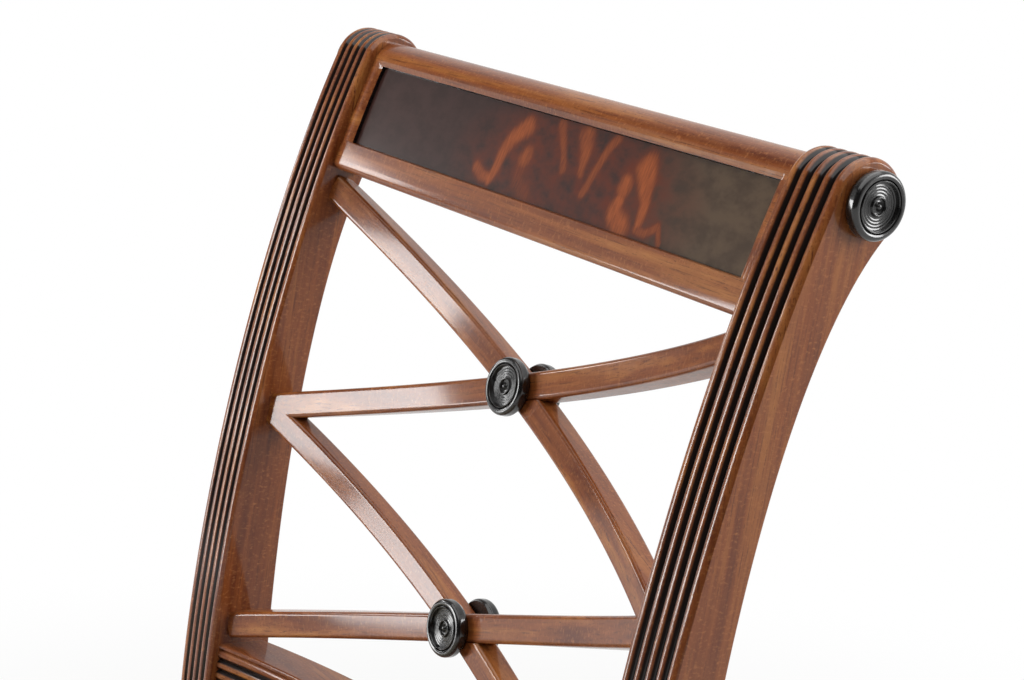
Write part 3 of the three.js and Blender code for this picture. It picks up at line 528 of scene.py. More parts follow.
def placed(piece, material, slot, *nodes, body="frame"):
    """Gives a finished piece its material, its body and the nodes that it stands for."""
    if material:
        piece.data.materials.clear()
        piece.data.materials.append(material)
    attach(piece, body)
    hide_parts(*nodes)


# Geometry Nodes trees

def new_tree(name, *inputs):
    """A tree with a geometry in and out, and named inputs as (name, kind, value)."""
    tree = bpy.data.node_groups.new(name, "GeometryNodeTree")
    face = tree.interface
    face.new_socket("Geometry", in_out="INPUT", socket_type="NodeSocketGeometry")
    for label, kind, value in inputs:
        socket = face.new_socket(label, in_out="INPUT", socket_type=kind)
        if value is not None:
            socket.default_value = value
    face.new_socket("Geometry", in_out="OUTPUT", socket_type="NodeSocketGeometry")
    return tree, add(tree, "NodeGroupInput")


def close_tree(tree, start, geometry):
    """Ends a tree in real, finished geometry."""
    real = add(tree, "GeometryNodeRealizeInstances", {0: geometry}).outputs[0]
    done = add(tree, "GeometryNodeSetMaterial", {0: real, "Material": start.outputs["Material"]}).outputs[0]
    add(tree, "NodeGroupOutput", {0: done})
    return tree


def worked(piece, tree, **values):
    """The piece after a tree with these input values."""
    step = piece.modifiers.new(tree.name, "NODES")
    step.node_group = tree
    for item in tree.interface.items_tree:
        key = item.name.replace(" ", "_").lower()
        if item.in_out == "INPUT" and key in values:
            step[item.identifier] = values[key]
    return evaluated(piece)


def reeding_tree():
    """Sinks round reeds into a face. Points carry how far across the face they lie, which way is in, and a share."""
    tree, start = new_tree(
        "Reeding",
        ("Count", "NodeSocketInt", REEDS),
        ("Pitch", "NodeSocketFloat", RAIL_PITCH * MM),
        ("Depth", "NodeSocketFloat", REED_DEPTH * MM),
        ("Groove", "NodeSocketFloat", GROOVE * MM),
        ("Material", "NodeSocketMaterial", None),
    )
    made = {name.lower(): start.outputs[name] for name in ("Count", "Pitch", "Depth", "Groove")}
    for key, kind in (("across", "FLOAT"), ("share", "FLOAT"), ("into", "FLOAT_VECTOR")):
        made[key] = add(tree, "GeometryNodeInputNamedAttribute", {"Name": key}, data_type=kind).outputs[0]
    # Each line is one step: what it gives, how, and from what.
    for result, operation, *terms in (
        ("band", "MULTIPLY", "count", "pitch"),
        ("half_band", "MULTIPLY", "band", 0.5),
        ("half", "MULTIPLY", "pitch", 0.5),
        # How far a point lies off the middle of its reed, and how deep the reed's round lies there
        ("run", "ADD", "across", "half_band"),
        ("wrapped", "WRAP", "run", "pitch", 0.0),
        ("off", "SUBTRACT", "wrapped", "half"),
        ("half_squared", "POWER", "half", 2.0),
        ("depth_squared", "POWER", "depth", 2.0),
        ("squares", "ADD", "half_squared", "depth_squared"),
        ("depth_twice", "MULTIPLY", "depth", 2.0),
        ("reed_radius", "DIVIDE", "squares", "depth_twice"),
        ("radius_squared", "POWER", "reed_radius", 2.0),
        ("off_squared", "POWER", "off", 2.0),
        ("under", "SUBTRACT", "radius_squared", "off_squared"),
        ("rise", "SQRT", "under"),
        ("reed", "SUBTRACT", "reed_radius", "rise"),
        # The slope from the outer reeds up to the lands beside them
        ("out", "ABSOLUTE", "across"),
        ("past", "SUBTRACT", "out", "half_band"),
        ("past_share", "DIVIDE", "past", "groove"),
        ("slope", "SUBTRACT", 1.0, "past_share"),
        ("slope_kept", "MAXIMUM", "slope", 0.0),
        ("edge", "MULTIPLY", "slope_kept", "depth"),
        ("is_edge", "GREATER_THAN", "past", -0.000001),
        ("is_reed", "SUBTRACT", 1.0, "is_edge"),
        ("inner", "MULTIPLY", "reed", "is_reed"),
        ("whole", "MULTIPLY_ADD", "edge", "is_edge", "inner"),
        ("sunk", "MULTIPLY", "whole", "share"),
        # Polish gathers between two reeds, and its dark there also paints the grooves' shade, but not on the outer
        # flanks
        ("minus_half", "MULTIPLY", "half", -1.0),
        ("between", "LESS_THAN", "past", "minus_half"),
        ("sunk_share", "DIVIDE", "sunk", "depth"),
        ("polish_and_groove_shade", "MULTIPLY", "sunk_share", "between"),
    ):
        inputs = {i: made.get(term, term) for i, term in enumerate(terms)}
        made[result] = add(tree, "ShaderNodeMath", inputs, operation=operation).outputs[0]
    offset = add(
        tree, "ShaderNodeVectorMath", {0: made["into"], "Scale": made["sunk"]}, operation="SCALE"
    ).outputs[0]
    moved = add(tree, "GeometryNodeSetPosition", {0: start.outputs[0], "Offset": offset}).outputs[0]
    # Stored as sunk: where the grooves get their near black polish and painted shade
    stored = add(
        tree, "GeometryNodeStoreNamedAttribute", {0: moved, "Name": "sunk", "Value": made["polish_and_groove_shade"]},
        data_type="FLOAT", domain="POINT",
    ).outputs[0]
    return close_tree(tree, start, stored)


def sweep_tree():
    """Sweeps a section with rounded edges along a path whose points carry the way the face looks."""
    tree, start = new_tree(
        "Lattice bar",
        ("Face", "NodeSocketFloat", BAR_FACE * MM),
        ("Thickness", "NodeSocketFloat", BAR_THICK * MM),
        ("Edge", "NodeSocketFloat", BAR_ROUND * MM),
        ("Steps", "NodeSocketInt", 6),
        ("Material", "NodeSocketMaterial", None),
    )
    path = add(tree, "GeometryNodeMeshToCurve", {0: start.outputs[0]}).outputs[0]
    look = add(tree, "GeometryNodeInputNamedAttribute", {"Name": "facing"}, data_type="FLOAT_VECTOR").outputs[0]
    turned_path = add(
        tree, "GeometryNodeSetCurveNormal", {"Curve": path, "Normal": look}, mode="FREE"
    ).outputs[0]
    section = add(
        tree, "GeometryNodeCurvePrimitiveQuadrilateral",
        {"Width": start.outputs["Thickness"], "Height": start.outputs["Face"]},
    ).outputs[0]
    softened = add(
        tree, "GeometryNodeFilletCurve",
        {"Curve": section, "Radius": start.outputs["Edge"], "Count": start.outputs["Steps"]}, mode="POLY",
    ).outputs[0]
    body = add(
        tree, "GeometryNodeCurveToMesh", {"Curve": turned_path, "Profile Curve": softened, "Fill Caps": True}
    ).outputs[0]
    return close_tree(tree, start, body)


REEDING = reeding_tree()
SWEEP = sweep_tree()


# Reeded members

def reed_columns(width, pitch, radius=EDGE_ROUND, count=REEDS, steps=10):
    """Points across a face as [distance from the middle, depth of its rounded edge], close where reeds turn down."""
    band = count * pitch / 2
    places = [-band + (reed + 0.5 + math.sin((i / steps - 0.5) * math.pi) / 2) * pitch
              for reed in range(count) for i in range(steps)]
    places.append(band)
    if band + GROOVE < width / 2:
        edge = [width / 2 - radius * (1 - math.cos(a)) for a in np.linspace(0, math.pi / 2, 6)]
        places = [*(-a for a in edge), -band - GROOVE, *places, band + GROOVE, *reversed(edge)]
    return [(a, radius - math.sqrt(radius**2 - max(0, abs(a) - width / 2 + radius - 1e-9)**2)) for a in places]


def reeded(name, rings, count, pitch):
    """A reeded member, from rings of (point, distance across the face, way into the wood, share of reeding)."""
    points, across, into, share = zip(*(row for ring in rings for row in ring))
    piece = new_piece(
        name, points, loft_faces(len(rings), len(rings[0])),
        attributes={"across": np.array(across) * MM, "into": into, "share": share},
    )
    return cleaned(worked(piece, REEDING, count=count, pitch=pitch * MM, material=WOOD))


def member_rings(stations, width, centre):
    """Rings whose whole face is reeds, the outer ones rounding over into the sides, from stations as
    (front, back, way into the front, way into the back, width share, front reeds, back reeds)."""
    columns = reed_columns(width, width / REEDS)
    rings = []
    for front, back, in_front, in_back, wide, front_reeds, back_reeds in stations:
        ring = []
        for sign, base, inward, reeds in ((1, front, in_front, front_reeds), (-1, back, in_back, back_reeds)):
            for a, sunk in columns[::sign]:
                ring.append(((centre + a * wide, *(base + inward * sunk * (1 - reeds))), a, (0, *inward), reeds))
        rings.append(ring)
    return rings


def flipped(piece):
    """The piece on the other side of the chair."""
    piece.data.transform(Matrix.Scale(-1, 4, (1, 0, 0)))
    piece.data.flip_normals()
    return piece


def finished_wood(piece, node, along, through, shift, angle=40):
    """Shades a mahogany piece, lays its grain and puts it in its node's place."""
    shaded(piece, angle)
    grained(piece, along, through, shift)
    placed(piece, WOOD, "mahogany", node)


def finished_pair(right, node, along, through, shifts):
    """Finishes a right piece, and its twin for the left."""
    left = in_scene(right.name.replace("right", "left"), right.data.copy())
    finished_wood(right, f"{node}_right", along, through, shifts[0])
    finished_wood(flipped(left), f"{node}_left", (-along[0], *along[1:]), through, shifts[1])


def stile_stations():
    start, end = REAR_LEG_REACHES
    leg_front = lean_curve(
        SEAT_Y + REAR_SWEEP, FOOT_Z, REAR_FOOT_LEAN, start * SEAT_TOP, SEAT_Y, SEAT_TOP, FRONT_LEAN, end * SEAT_TOP
    )
    leg_back = lean_curve(
        SEAT_Y + REAR_SWEEP + REAR_FOOT[1], FOOT_Z, REAR_FOOT_LEAN, start * SEAT_TOP,
        SEAT_Y + STILE_DEPTH, SEAT_TOP, BACK_LEAN, end * SEAT_TOP,
    )
    stations = []
    for t in np.linspace(0, 1, 44)[:-1]:
        front, back = bezier(leg_front, t), bezier(leg_back, t)
        inward = unit(back - front)
        fade = np.clip((front[1] - SEAT_TOP + LEG_FADE) / LEG_FADE, 0, 1)
        wide = REAR_FOOT[0] / STILE_WIDTH + (1 - REAR_FOOT[0] / STILE_WIDTH) * t
        stations.append((front, back, inward, -inward, wide, fade, 0))
    for t in np.linspace(0, 1, 72):
        front, back = bezier(STILE_FRONT, t), back_path(square_behind(t))
        inward = unit(back - front)
        stations.append((front, back, inward, -inward, 1, 1, 0))
    for turn in np.linspace(0, math.pi / 2, 26)[1:]:
        a, b = math.pi - SCROLL_FRONT - turn, turn - SCROLL_FRONT
        front, back = scroll_point(a), scroll_point(b)
        fade = np.clip(turn / SCROLL_FADE, 0, 1)
        stations.append((front, back, -unit(scroll_point(a) - scroll_point(a, 0)),
                         -unit(scroll_point(b) - scroll_point(b, 0)), 1, 1, fade * fade * (3 - 2 * fade)))
    return stations


def make_stiles():
    right = reeded("stile_right_reeded", member_rings(stile_stations(), STILE_WIDTH, STILE_CENTRE),
                   REEDS, STILE_WIDTH / REEDS)
    finished_pair(right, "stile", (0, 0.2, 1), (1, 0, 0), (0.37, 1.91))


def make_front_legs():
    (foot_lean, top_lean), (start, end) = FRONT_LEG_LEANS, FRONT_LEG_REACHES
    face, rear = (
        lean_curve(foot_y, FOOT_Z, foot_lean, start * SEAT_TOP, top_y, SEAT_TOP, top_lean, end * SEAT_TOP)
        for foot_y, top_y in ((-DEPTH / 2, FRONT_LEG_Y), (FRONT_FOOT[1] - DEPTH / 2, FRONT_LEG_BACK))
    )
    stations = []
    for t in np.linspace(0, 1, 60):
        front, back = bezier(face, t), bezier(rear, t)
        inward = unit(back - front)
        wide = FRONT_FOOT[0] / FRONT_LEG[0] + (1 - FRONT_FOOT[0] / FRONT_LEG[0]) * t
        stations.append((front, back, inward, -inward, wide, wide, 0))
    rings = member_rings(stations, FRONT_LEG[0], HALF_FRONT - FRONT_LEG[0] / 2)
    right = reeded("front_leg_right_reeded", rings, REEDS, FRONT_LEG[0] / REEDS)
    cut_with(right, seat_prism(SEAT_EASE, LEDGE - 0.1, SEAT_TOP + 5))
    finished_pair(right, "front_leg", (0, 0, 1), (1, 0, 0), (2.63, 3.17))


# Seat rails

def rail_outer(y):
    share = (y - FRONT_LEG_BACK) / (SEAT_Y - FRONT_LEG_BACK)
    return HALF_FRONT - RAIL_INSET + share * (HALF_OUTER - HALF_FRONT)


def seat_plan(grow):
    """The plan of the drop-in seat, let out all round by one distance."""
    front = FRONT_LEG_Y + RAIL_INSET + RAIL_THICK + SEAT_EASE - grow
    rear = SEAT_Y - SEAT_REAR_EASE + grow
    side = lambda y: rail_outer(y) - SIDE_RAIL_THICK - SEAT_EASE + grow
    return [(-side(front), front), (side(front), front), (side(rear), rear), (-side(rear), rear)]


def seat_prism(grow, z0, z1):
    plan = seat_plan(grow)
    points = [(x, y, z) for z in (z0, z1) for x, y in plan]
    return cleaned(new_piece("seat_room", points, loft_faces(2, 4)))


def rail_rows(height, pitch, thick, arris):
    """Once round a rail's section, as (distance across its face, depth into it, share of reeding)."""
    front = [(a, sunk, 1) for a, sunk in reed_columns(height, pitch, RAIL_ROUND, RAIL_REEDS)]
    half = height / 2
    return [*front, (half, thick - arris, 0), (half - arris, thick, 0), (arris - half, thick, 0),
            (-half, thick - arris, 0)]


def straight_rail(name, places, inward, thick):
    """A straight seat rail with a reeded outer face, through places in the plan, and the way into its wood."""
    middle = SEAT_TOP - RAIL_HEIGHT / 2
    rows = rail_rows(RAIL_HEIGHT, RAIL_PITCH, thick, 1)
    rings = [[((*(np.array(place) + inward * sunk), middle - a), a, (*inward, 0), reeds) for a, sunk, reeds in rows]
             for place in places]
    return reeded(name, rings, RAIL_REEDS, RAIL_PITCH)


def make_seat_rails():
    splay = unit(np.array([-(SEAT_Y - FRONT_LEG_BACK), HALF_OUTER - HALF_FRONT]))
    stops = np.linspace(FRONT_LEG_BACK - SIDE_RAIL_END, SEAT_Y + SIDE_RAIL_END, 24)
    right = straight_rail("seat_rail_right_reeded", [(rail_outer(y), y) for y in stops], splay, SIDE_RAIL_THICK)
    finished_pair(right, "seat_rail", (-0.035, 1, 0), (0, 0, 1), (4.3, 5.9))
    reach = HALF_FRONT - FRONT_LEG[0] + FRONT_RAIL_END
    places = [(x, FRONT_LEG_Y + RAIL_INSET) for x in np.linspace(-reach, reach, 24)]
    front = straight_rail("seat_rail_front_reeded", places, np.array([0, 1]), RAIL_THICK)
    finished_wood(front, "seat_rail_front", (1, 0, 0), (0, 0, 1), 7.1)


def make_rear_rail():
    """The plain rear rail, with its arrises taken off."""
    piece = cleaned(in_scene("seat_rail_rear_planed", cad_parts["seat_rail_rear"].data.copy()), 0.00002)
    work = bmesh.new()
    work.from_mesh(piece.data)
    bmesh.ops.dissolve_limit(work, angle_limit=math.radians(1), verts=work.verts, edges=work.edges)
    work.to_mesh(piece.data)
    work.free()
    modified(piece, "BEVEL", width=1 * MM, segments=2, limit_method="ANGLE", angle_limit=math.radians(50))
    finished_wood(piece, "seat_rail_rear", (1, 0, 0), (0, 0, 1), 14.7, 60)


# Crest rail

def crest_section():
    """Round the crest rail in the side view, from the bottom of its front, as (point, way in, place on the front)."""
    start = stile_at(CREST_BOTTOM)[0]
    low = stile_at(CREST_BOTTOM + FIELD_BOTTOM)[0]
    high = stile_at(FIELD_TOP)[0]
    rows = []

    def on_front(t, sunk=0.0, zone="rail"):
        rows.append((*into_stile(t, CREST_INSET + sunk), zone))

    per_mm = (1 - start) / np.linalg.norm(bezier(STILE_FRONT, 1) - bezier(STILE_FRONT, start))
    for a in np.linspace(0, math.pi / 2, 5)[:-1]:
        on_front(start + CREST_EDGE * (1 - math.cos(a)) * per_mm, CREST_EDGE * (1 - math.sin(a)))
    bevel = FIELD_BEVEL * per_mm
    for t in np.linspace(start + CREST_EDGE * per_mm, low - 0.25 * bevel, 6):
        on_front(t)
    on_front(low, zone="lip")
    for t in np.linspace(low, high, 16):
        on_front(t, zone="field")
    on_front(high, zone="lip")
    for t in np.linspace(high + bevel, 1, 5):
        on_front(t)
    for angle in np.linspace(math.pi - SCROLL_FRONT, -SCROLL_BACK, 44)[1:]:
        point = scroll_point(angle, SCROLL_RADIUS - CREST_INSET)
        rows.append((point, unit(scroll_point(angle, 0) - point), "rail"))
    end = square_behind(start)
    for u in np.linspace(1, end, 16)[1:]:
        way = heading(STILE_BACK, u)
        inward = np.array([-way[1], way[0]])
        rows.append((bezier(STILE_BACK, u) + inward * CREST_INSET, inward, "rail"))
    return rows


def make_crest():
    rows = crest_section()
    reach = HALF_INNER - 0.05
    field = reach - FIELD_SIDE
    xs = [*np.linspace(-reach, -field - FIELD_BEVEL, 3), -field, -field, *np.linspace(-field, field, 30)[1:-1],
          field, field, *np.linspace(field + FIELD_BEVEL, reach, 3)]
    zones = ["rail"] * 3 + ["lip", "field"] + ["field"] * 28 + ["field", "lip"] + ["rail"] * 3
    floor = FIELD_DEPTH + VENEER_THICK
    points = []
    for x, column in zip(xs, zones):
        for point, inward, zone in rows:
            both = (zone, column)
            sunk = 0 if "rail" in both else FIELD_CHAMFER if "lip" in both else floor
            points.append((x, *(point + inward * sunk)))
    piece = new_piece("crest_rail_rolled", points, loft_faces(len(xs), len(rows)))
    cleaned(piece, 0.000001)
    piece.data.materials.append(WOOD)
    piece.data.materials.append(BLACK)
    # The field's walls are blackened as ebonised lines, which also paint the shade that lies in the recess.
    for face in piece.data.polygons:
        centre = face.center / MM
        inside = abs(centre.x) < field + 0.2 and stile_at(centre.z)[1][0] + FIELD_CHAMFER + 1 < centre.y - CREST_INSET
        wall = abs(face.normal.y) < 0.5
        if inside and wall and centre.y < SCROLL_Y - 2 and CREST_BOTTOM + 5 < centre.z < FIELD_TOP + 3:
            face.material_index = 1
    shaded(piece, 35)
    grained(piece, (1, 0, 0), (0, -1, 0.3), 6.2)
    placed(piece, None, "mahogany", "crest_rail")


# The veneer's plumes, as points along each (across the panel from its middle, up from its lower edge), the widths
# at its ends, and how bright it is
PLUMES = [
    ([(-24, 36), (-33, 27), (-37, 14), (-41, 5)], 9.5, 4.2, 0.9),
    ([(-41, 6), (-48, 6), (-56, 9)], 4.5, 5.5, 0.8),
    ([(-14, 23), (-15, 20)], 8, 8, 0.8),
    ([(-15, 16), (-14, 8), (-4, 3)], 7, 10, 0.5),
    ([(6, 43), (13, 32), (20, 20)], 5.5, 4, 0.7),
    ([(30, 42), (35, 33), (36, 22)], 9.5, 4.5, 0.8),
    ([(55, 42), (49, 28), (43, 13)], 5.5, 4, 0.75),
    ([(77, 23), (76, 20)], 8, 7.5, 0.95),
    ([(76, 14), (74, 8), (83, 3)], 6, 11, 0.95),
    ([(86, 35), (91, 28), (97, 18), (97, 8)], 10.5, 4.5, 0.95),
    ([(96, 5), (104, 5), (113, 9), (117, 2)], 4, 3, 0.75),
]
GLOW = ((30, 16), (104, 40))


def plume_share(places, spine, wide0, wide1, bright):
    """How far each place lies inside a plume, and inside the wide faint wash around it, both soft at their edges."""
    spine = np.array(spine, float)
    along = np.linspace(0, 1, 30)
    run = np.linspace(0, 1, len(spine))
    line = np.stack([np.interp(along, run, spine[:, 0]), np.interp(along, run, spine[:, 1])], axis=1)
    wide = wide0 + (wide1 - wide0) * along
    off = (np.linalg.norm(places[:, None, :] - line[None], axis=2) / wide).min(axis=1)
    body, wash = np.clip(1.22 - off * 0.95, 0, 1), np.clip(1 - off / 3, 0, 1)
    return bright * body * body * (3 - 2 * body), bright * wash * wash


def figured(places):
    """Plume and glow shares for places on the panel. A slow sway keeps the plumes from looking drawn."""
    x, up = places.T
    sway = np.stack([0.9 * np.sin(up / 6.3 + x / 19) + 0.4 * np.sin(up / 2.9 + x / 7.4),
                     0.7 * np.sin(x / 7.7 + up / 11) + 0.3 * np.sin(x / 3.1)], axis=1)
    flame, wash = np.max([plume_share(places + sway, *plume) for plume in PLUMES], axis=0)
    (gx, gy), (rx, ry) = GLOW
    glow = np.clip(1.3 - ((x - gx) / rx) ** 2 - ((up - gy) / ry) ** 2, 0, 1)
    return flame, np.clip(glow * 0.75 + wash * 0.6, 0, 1)


def make_veneer():
    """The veneer follows the field's curve, a hair inside its walls."""
    low = stile_at(CREST_BOTTOM + FIELD_BOTTOM)[0]
    high = stile_at(FIELD_TOP)[0]
    reach = HALF_INNER - FIELD_SIDE - 0.15
    ts = np.linspace(low + 0.0006, high - 0.0006, 46)
    section = []
    for sunk, order in ((FIELD_DEPTH, ts), (FIELD_DEPTH + VENEER_THICK - 0.05, (ts[-1], ts[0]))):
        section += [(*into_stile(t, CREST_INSET + sunk)[0], (t - low) / (high - low)) for t in order]
    xs = np.linspace(-reach, reach, 372)
    points = [(x, y, z) for x in xs for y, z, _ in section]
    height = FIELD_TOP - CREST_BOTTOM - FIELD_BOTTOM
    places = np.array([(x, share * height) for x in xs for _, _, share in section])
    flame, glow = figured(places)
    grain = np.column_stack([places * MM, np.zeros(len(places))])
    piece = new_piece(
        "crest_veneer_flame", points, loft_faces(len(xs), len(section)),
        attributes={"grain": grain, "plume": flame, "glow": glow},
    )
    cleaned(piece)
    shaded(piece, 35)
    placed(piece, FLAME, "crotch_veneer", "crest_veneer")


# Lower back rail

def make_lower_rail():
    _, point, up, into = stile_at(LOWER_TOP)
    rows = rail_rows(LOWER_HEIGHT, LOWER_PITCH, LOWER_THICK, 1.5)
    rings = []
    for x in np.linspace(-HALF_INNER, HALF_INNER, 60):
        top = point + into * (LOWER_SET_BACK + bow(x, LOWER_BOW))
        rings.append([((x, *(top - up * (a + LOWER_HEIGHT / 2) + into * sunk)), a, (0, *into), reeds)
                      for a, sunk, reeds in rows])
    piece = reeded("lower_back_rail_reeded", rings, RAIL_REEDS, LOWER_PITCH)
    finished_wood(piece, "lower_back_rail", (1, 0, 0), (0, -1, 0.2), 8.4)


# Lattice bars

CROSSINGS = {
    "upper": (BAR_MIDDLE + MITRE_SPREAD, BAR_HIGH - MITRE_SPREAD),
    "lower": (BAR_LOW, BAR_MIDDLE - MITRE_SPREAD),
}


def lattice_point(x, z):
    """A point on the lattice's curved and bowed front."""
    return np.array([x, *into_stile(stile_at(z)[0], BAR_SET_BACK + bow(x, BAR_BOW))[0]])


def bar_frame(low, high, rightward, x):
    """Centre of a bar's face, the way it looks and the way its run goes, at a side distance."""
    share = (HALF_INNER + (x if rightward else -x)) / (2 * HALF_INNER)
    z = low + (high - low) * share
    climb = (high - low) / (2 * HALF_INNER) * (1 if rightward else -1)
    step = 0.5
    inside = np.clip(x, -HALF_INNER + step, HALF_INNER - step)
    sideways = lattice_point(inside + step, z) - lattice_point(inside - step, z)
    upwards = lattice_point(inside, z + step) - lattice_point(inside, z - step)
    facing = unit(np.cross(sideways, upwards))
    return lattice_point(x, z), facing, unit(sideways + upwards * climb)


def bar_sweep(name, low, high, rightward, near, far, face, edge, reach):
    """A bar, or a cutter for its lap, between two depths behind the lattice's front."""
    points, looks = [], []
    for x in np.linspace(-reach, reach, 49):
        centre, facing, _ = bar_frame(low, high, rightward, x)
        points.append(centre - facing * (near + far) / 2)
        looks.append(facing)
    piece = new_piece(
        name, points, (), [(i, i + 1) for i in range(len(points) - 1)], attributes={"facing": looks}
    )
    worked(piece, SWEEP, face=face * MM, thickness=(far - near) * MM, edge=edge * MM, material=WOOD)
    return cleaned(piece)


def mitre_block(above):
    """All that lies above, or below, the plane where two bars meet at a stile."""
    z0, z1 = (HAIR, 60) if above else (-60, -HAIR)
    points = [(x, y, z) for z in (z0, z1) for x, y in ((150, -40), (215, -40), (215, 40), (150, 40))]
    _, point, up, into = stile_at(BAR_MIDDLE)
    leant = [(x, *(point + into * (BAR_SET_BACK + y) + up * z)) for x, y, z in points]
    return cleaned(new_piece("mitre_room", leant, loft_faces(2, 4)))


def make_bars():
    half = BAR_THICK / 2
    for i, (name, (low, high)) in enumerate(CROSSINGS.items()):
        for j, rightward in enumerate((True, False)):
            way = "right" if rightward else "left"
            bar = bar_sweep(f"bar_{name}_rising_{way}", low, high, rightward, 0, BAR_THICK, BAR_FACE, BAR_ROUND,
                            HALF_INNER - HAIR)
            near, far = (half, BAR_THICK + 3) if rightward else (-3, half)
            lap = bar_sweep("lap_room", low, high, not rightward, near, far, BAR_FACE + HAIR, 0.01, HALF_INNER)
            mitre = mitre_block(name == "lower")
            if (name == "upper") == rightward:
                flipped(mitre)
            cleaned(cut_with(bar, lap, mitre))
            _, facing, run = bar_frame(low, high, rightward, 0)
            finished_wood(bar, f"lattice_bar_{name}_rising_{way}", run, facing, 9.7 + 1.3 * i + 0.8 * j, 35)


# Turned discs

def disc_profile():
    """From the foot to the middle: a fat rounded rim, a groove, a thin ring, a rippled dish, a small ring, a button."""

    def bead(middle, height, wide, high, start, end, steps):
        return [(middle + wide * math.cos(a), height + high * math.sin(a)) for a in np.linspace(start, end, steps)]

    dish = [(r, 5.2 + 0.11 * math.cos(2 * math.pi * (r - 5.2) / 1.5)) for r in np.linspace(11.2, 5.2, 33)]
    return [
        (15.4, 0), *bead(14.4, 2.6, 2.3, 2.2, -0.9, 0, 6), *bead(14.4, 5.1, 2.3, 2.5, 0, 2.1, 12),
        (13.1, 6.4), (12.8, 6.1),
        *bead(12.1, 6.4, 0.5, 1.15, 0.1, 3.0, 9), *dish,
        *bead(4.3, 5.6, 0.6, 1.0, 0.3, 2.8, 8), (3.4, 5.1), (2.6, 5.0), (2.0, 5.3),
        *bead(0, 5.7, 1.5, 1.3, 0.1, 1.5, 7),
    ]


def turned_disc(name, node, seat, way):
    profile = [(0, 0), *disc_profile(), (0, 7)]
    n = len(profile)
    points, faces = [], []
    for i in range(DISC_SIDES):
        a, j = 2 * math.pi * i / DISC_SIDES, (i + 1) % DISC_SIDES
        points += [(r * math.cos(a), r * math.sin(a), h) for r, h in profile]
        faces += [(i * n + k, j * n + k, j * n + k + 1, i * n + k + 1) for k in range(n - 1)]
    piece = new_piece(name, points, faces)
    cleaned(piece, 0.0000001)
    turn = Vector((0, 0, 1)).rotation_difference(Vector(way)).to_matrix().to_4x4()
    piece.data.transform(Matrix.Translation(Vector(seat) * MM) @ turn)
    shaded(piece, 40)
    placed(piece, BLACK, "ebonised_wood", node)


def make_discs():
    lift = GLUE_LINE + (bow(0, BAR_BOW) - bow(2 * DISC_RADIUS, BAR_BOW)) / 2
    for name, (low, high) in CROSSINGS.items():
        centre, facing, _ = bar_frame(low, high, True, 0)
        turned_disc(f"disc_{name}_front", f"rosette_{name}_front", centre + facing * lift, facing)
        turned_disc(f"disc_{name}_rear", f"rosette_{name}_rear", centre - facing * (BAR_THICK + GLUE_LINE), -facing)
    for side, sign in (("right", 1), ("left", -1)):
        seat = (sign * (HALF_OUTER + GLUE_LINE), SCROLL_Y, SCROLL_Z)
        turned_disc(f"roundel_{side}", f"scroll_roundel_{side}", seat, (sign, 0, 0))


# Drop-in seat

def cushion_ring(inset, z, points=14):
    plan = [np.array(corner) for corner in seat_plan(-inset)]
    radius = max(CUSHION_CORNER - inset / 2, CUSHION_CORNER / 2)
    ring = []
    for i, corner in enumerate(plan):
        before, after = unit(plan[i - 1] - corner) * radius, unit(plan[(i + 1) % 4] - corner) * radius
        for t in np.linspace(0, 1, points):
            ring.append((*(corner + before * (1 - t) ** 2 + after * t * t), z))
    return ring


def make_cushion():
    """The stuffed cover: a closed crowned form that swells in a short simulation, held still below the rails' top."""
    inset = -CUSHION_OVERLAP
    # Each ring's share of the way in, and of the rise
    crown = [(0, 0), (0.03, 0.3), (0.1, 0.55), (0.24, 0.74), (0.42, 0.88), (0.66, 0.97), (0.88, 1)]
    reach = (SEAT_Y - FRONT_LEG_Y - 120) / 2
    rings = [cushion_ring(inset, LEDGE + 0.6), cushion_ring(inset, SEAT_TOP), cushion_ring(inset - 1, SEAT_TOP + 10)]
    for inward, rise in crown:
        rings.append(cushion_ring(inset + inward * reach, CUSHION_EDGE - 3 + (CUSHION_TOP - CUSHION_EDGE) * rise))
    points = [p for ring in rings for p in ring]
    piece = cleaned(new_piece("seat_cushion", points, loft_faces(len(rings), len(rings[0]))))
    modified(piece, "REMESH", mode="VOXEL", voxel_size=5 * MM)
    swell(piece)
    modified(piece, "SUBSURF", levels=1, render_levels=1)
    piece.data.shade_smooth()
    placed(piece, SEAT_CLOTH, "seat_cloth", "seat_cover", "seat_pad", body="seat")


def swell(piece, cap=5 * MM):
    """Blows the cover up a little with air, keeps what the rails hold, and caps how far a point may move."""
    start = np.array([v.co for v in piece.data.vertices])
    held = piece.vertex_groups.new(name="held")
    fixed = [i for i, co in enumerate(start) if co[2] < (SEAT_TOP + 4) * MM]
    held.add(fixed, 1.0, "REPLACE")
    cloth = piece.modifiers.new("Swell", "CLOTH")
    cloth.settings.vertex_group_mass = "held"
    cloth.settings.use_pressure = True
    cloth.settings.uniform_pressure_force = 4
    cloth.settings.effector_weights.gravity = 0
    cloth.settings.quality = 5
    cloth.point_cache.frame_start, cloth.point_cache.frame_end = 1, 20
    for step in range(1, 21):
        bpy.context.scene.frame_set(step)
    evaluated(piece)
    end = np.array([v.co for v in piece.data.vertices])
    move = end - start
    length = np.maximum(np.linalg.norm(move, axis=1, keepdims=True), 1e-9)
    capped = start + move * np.minimum(1, cap / length)
    capped[:, 2] = np.minimum(capped[:, 2], CUSHION_TOP * MM)
    piece.data.vertices.foreach_set("co", capped.astype(np.float32).ravel())
    bpy.context.scene.frame_set(1)


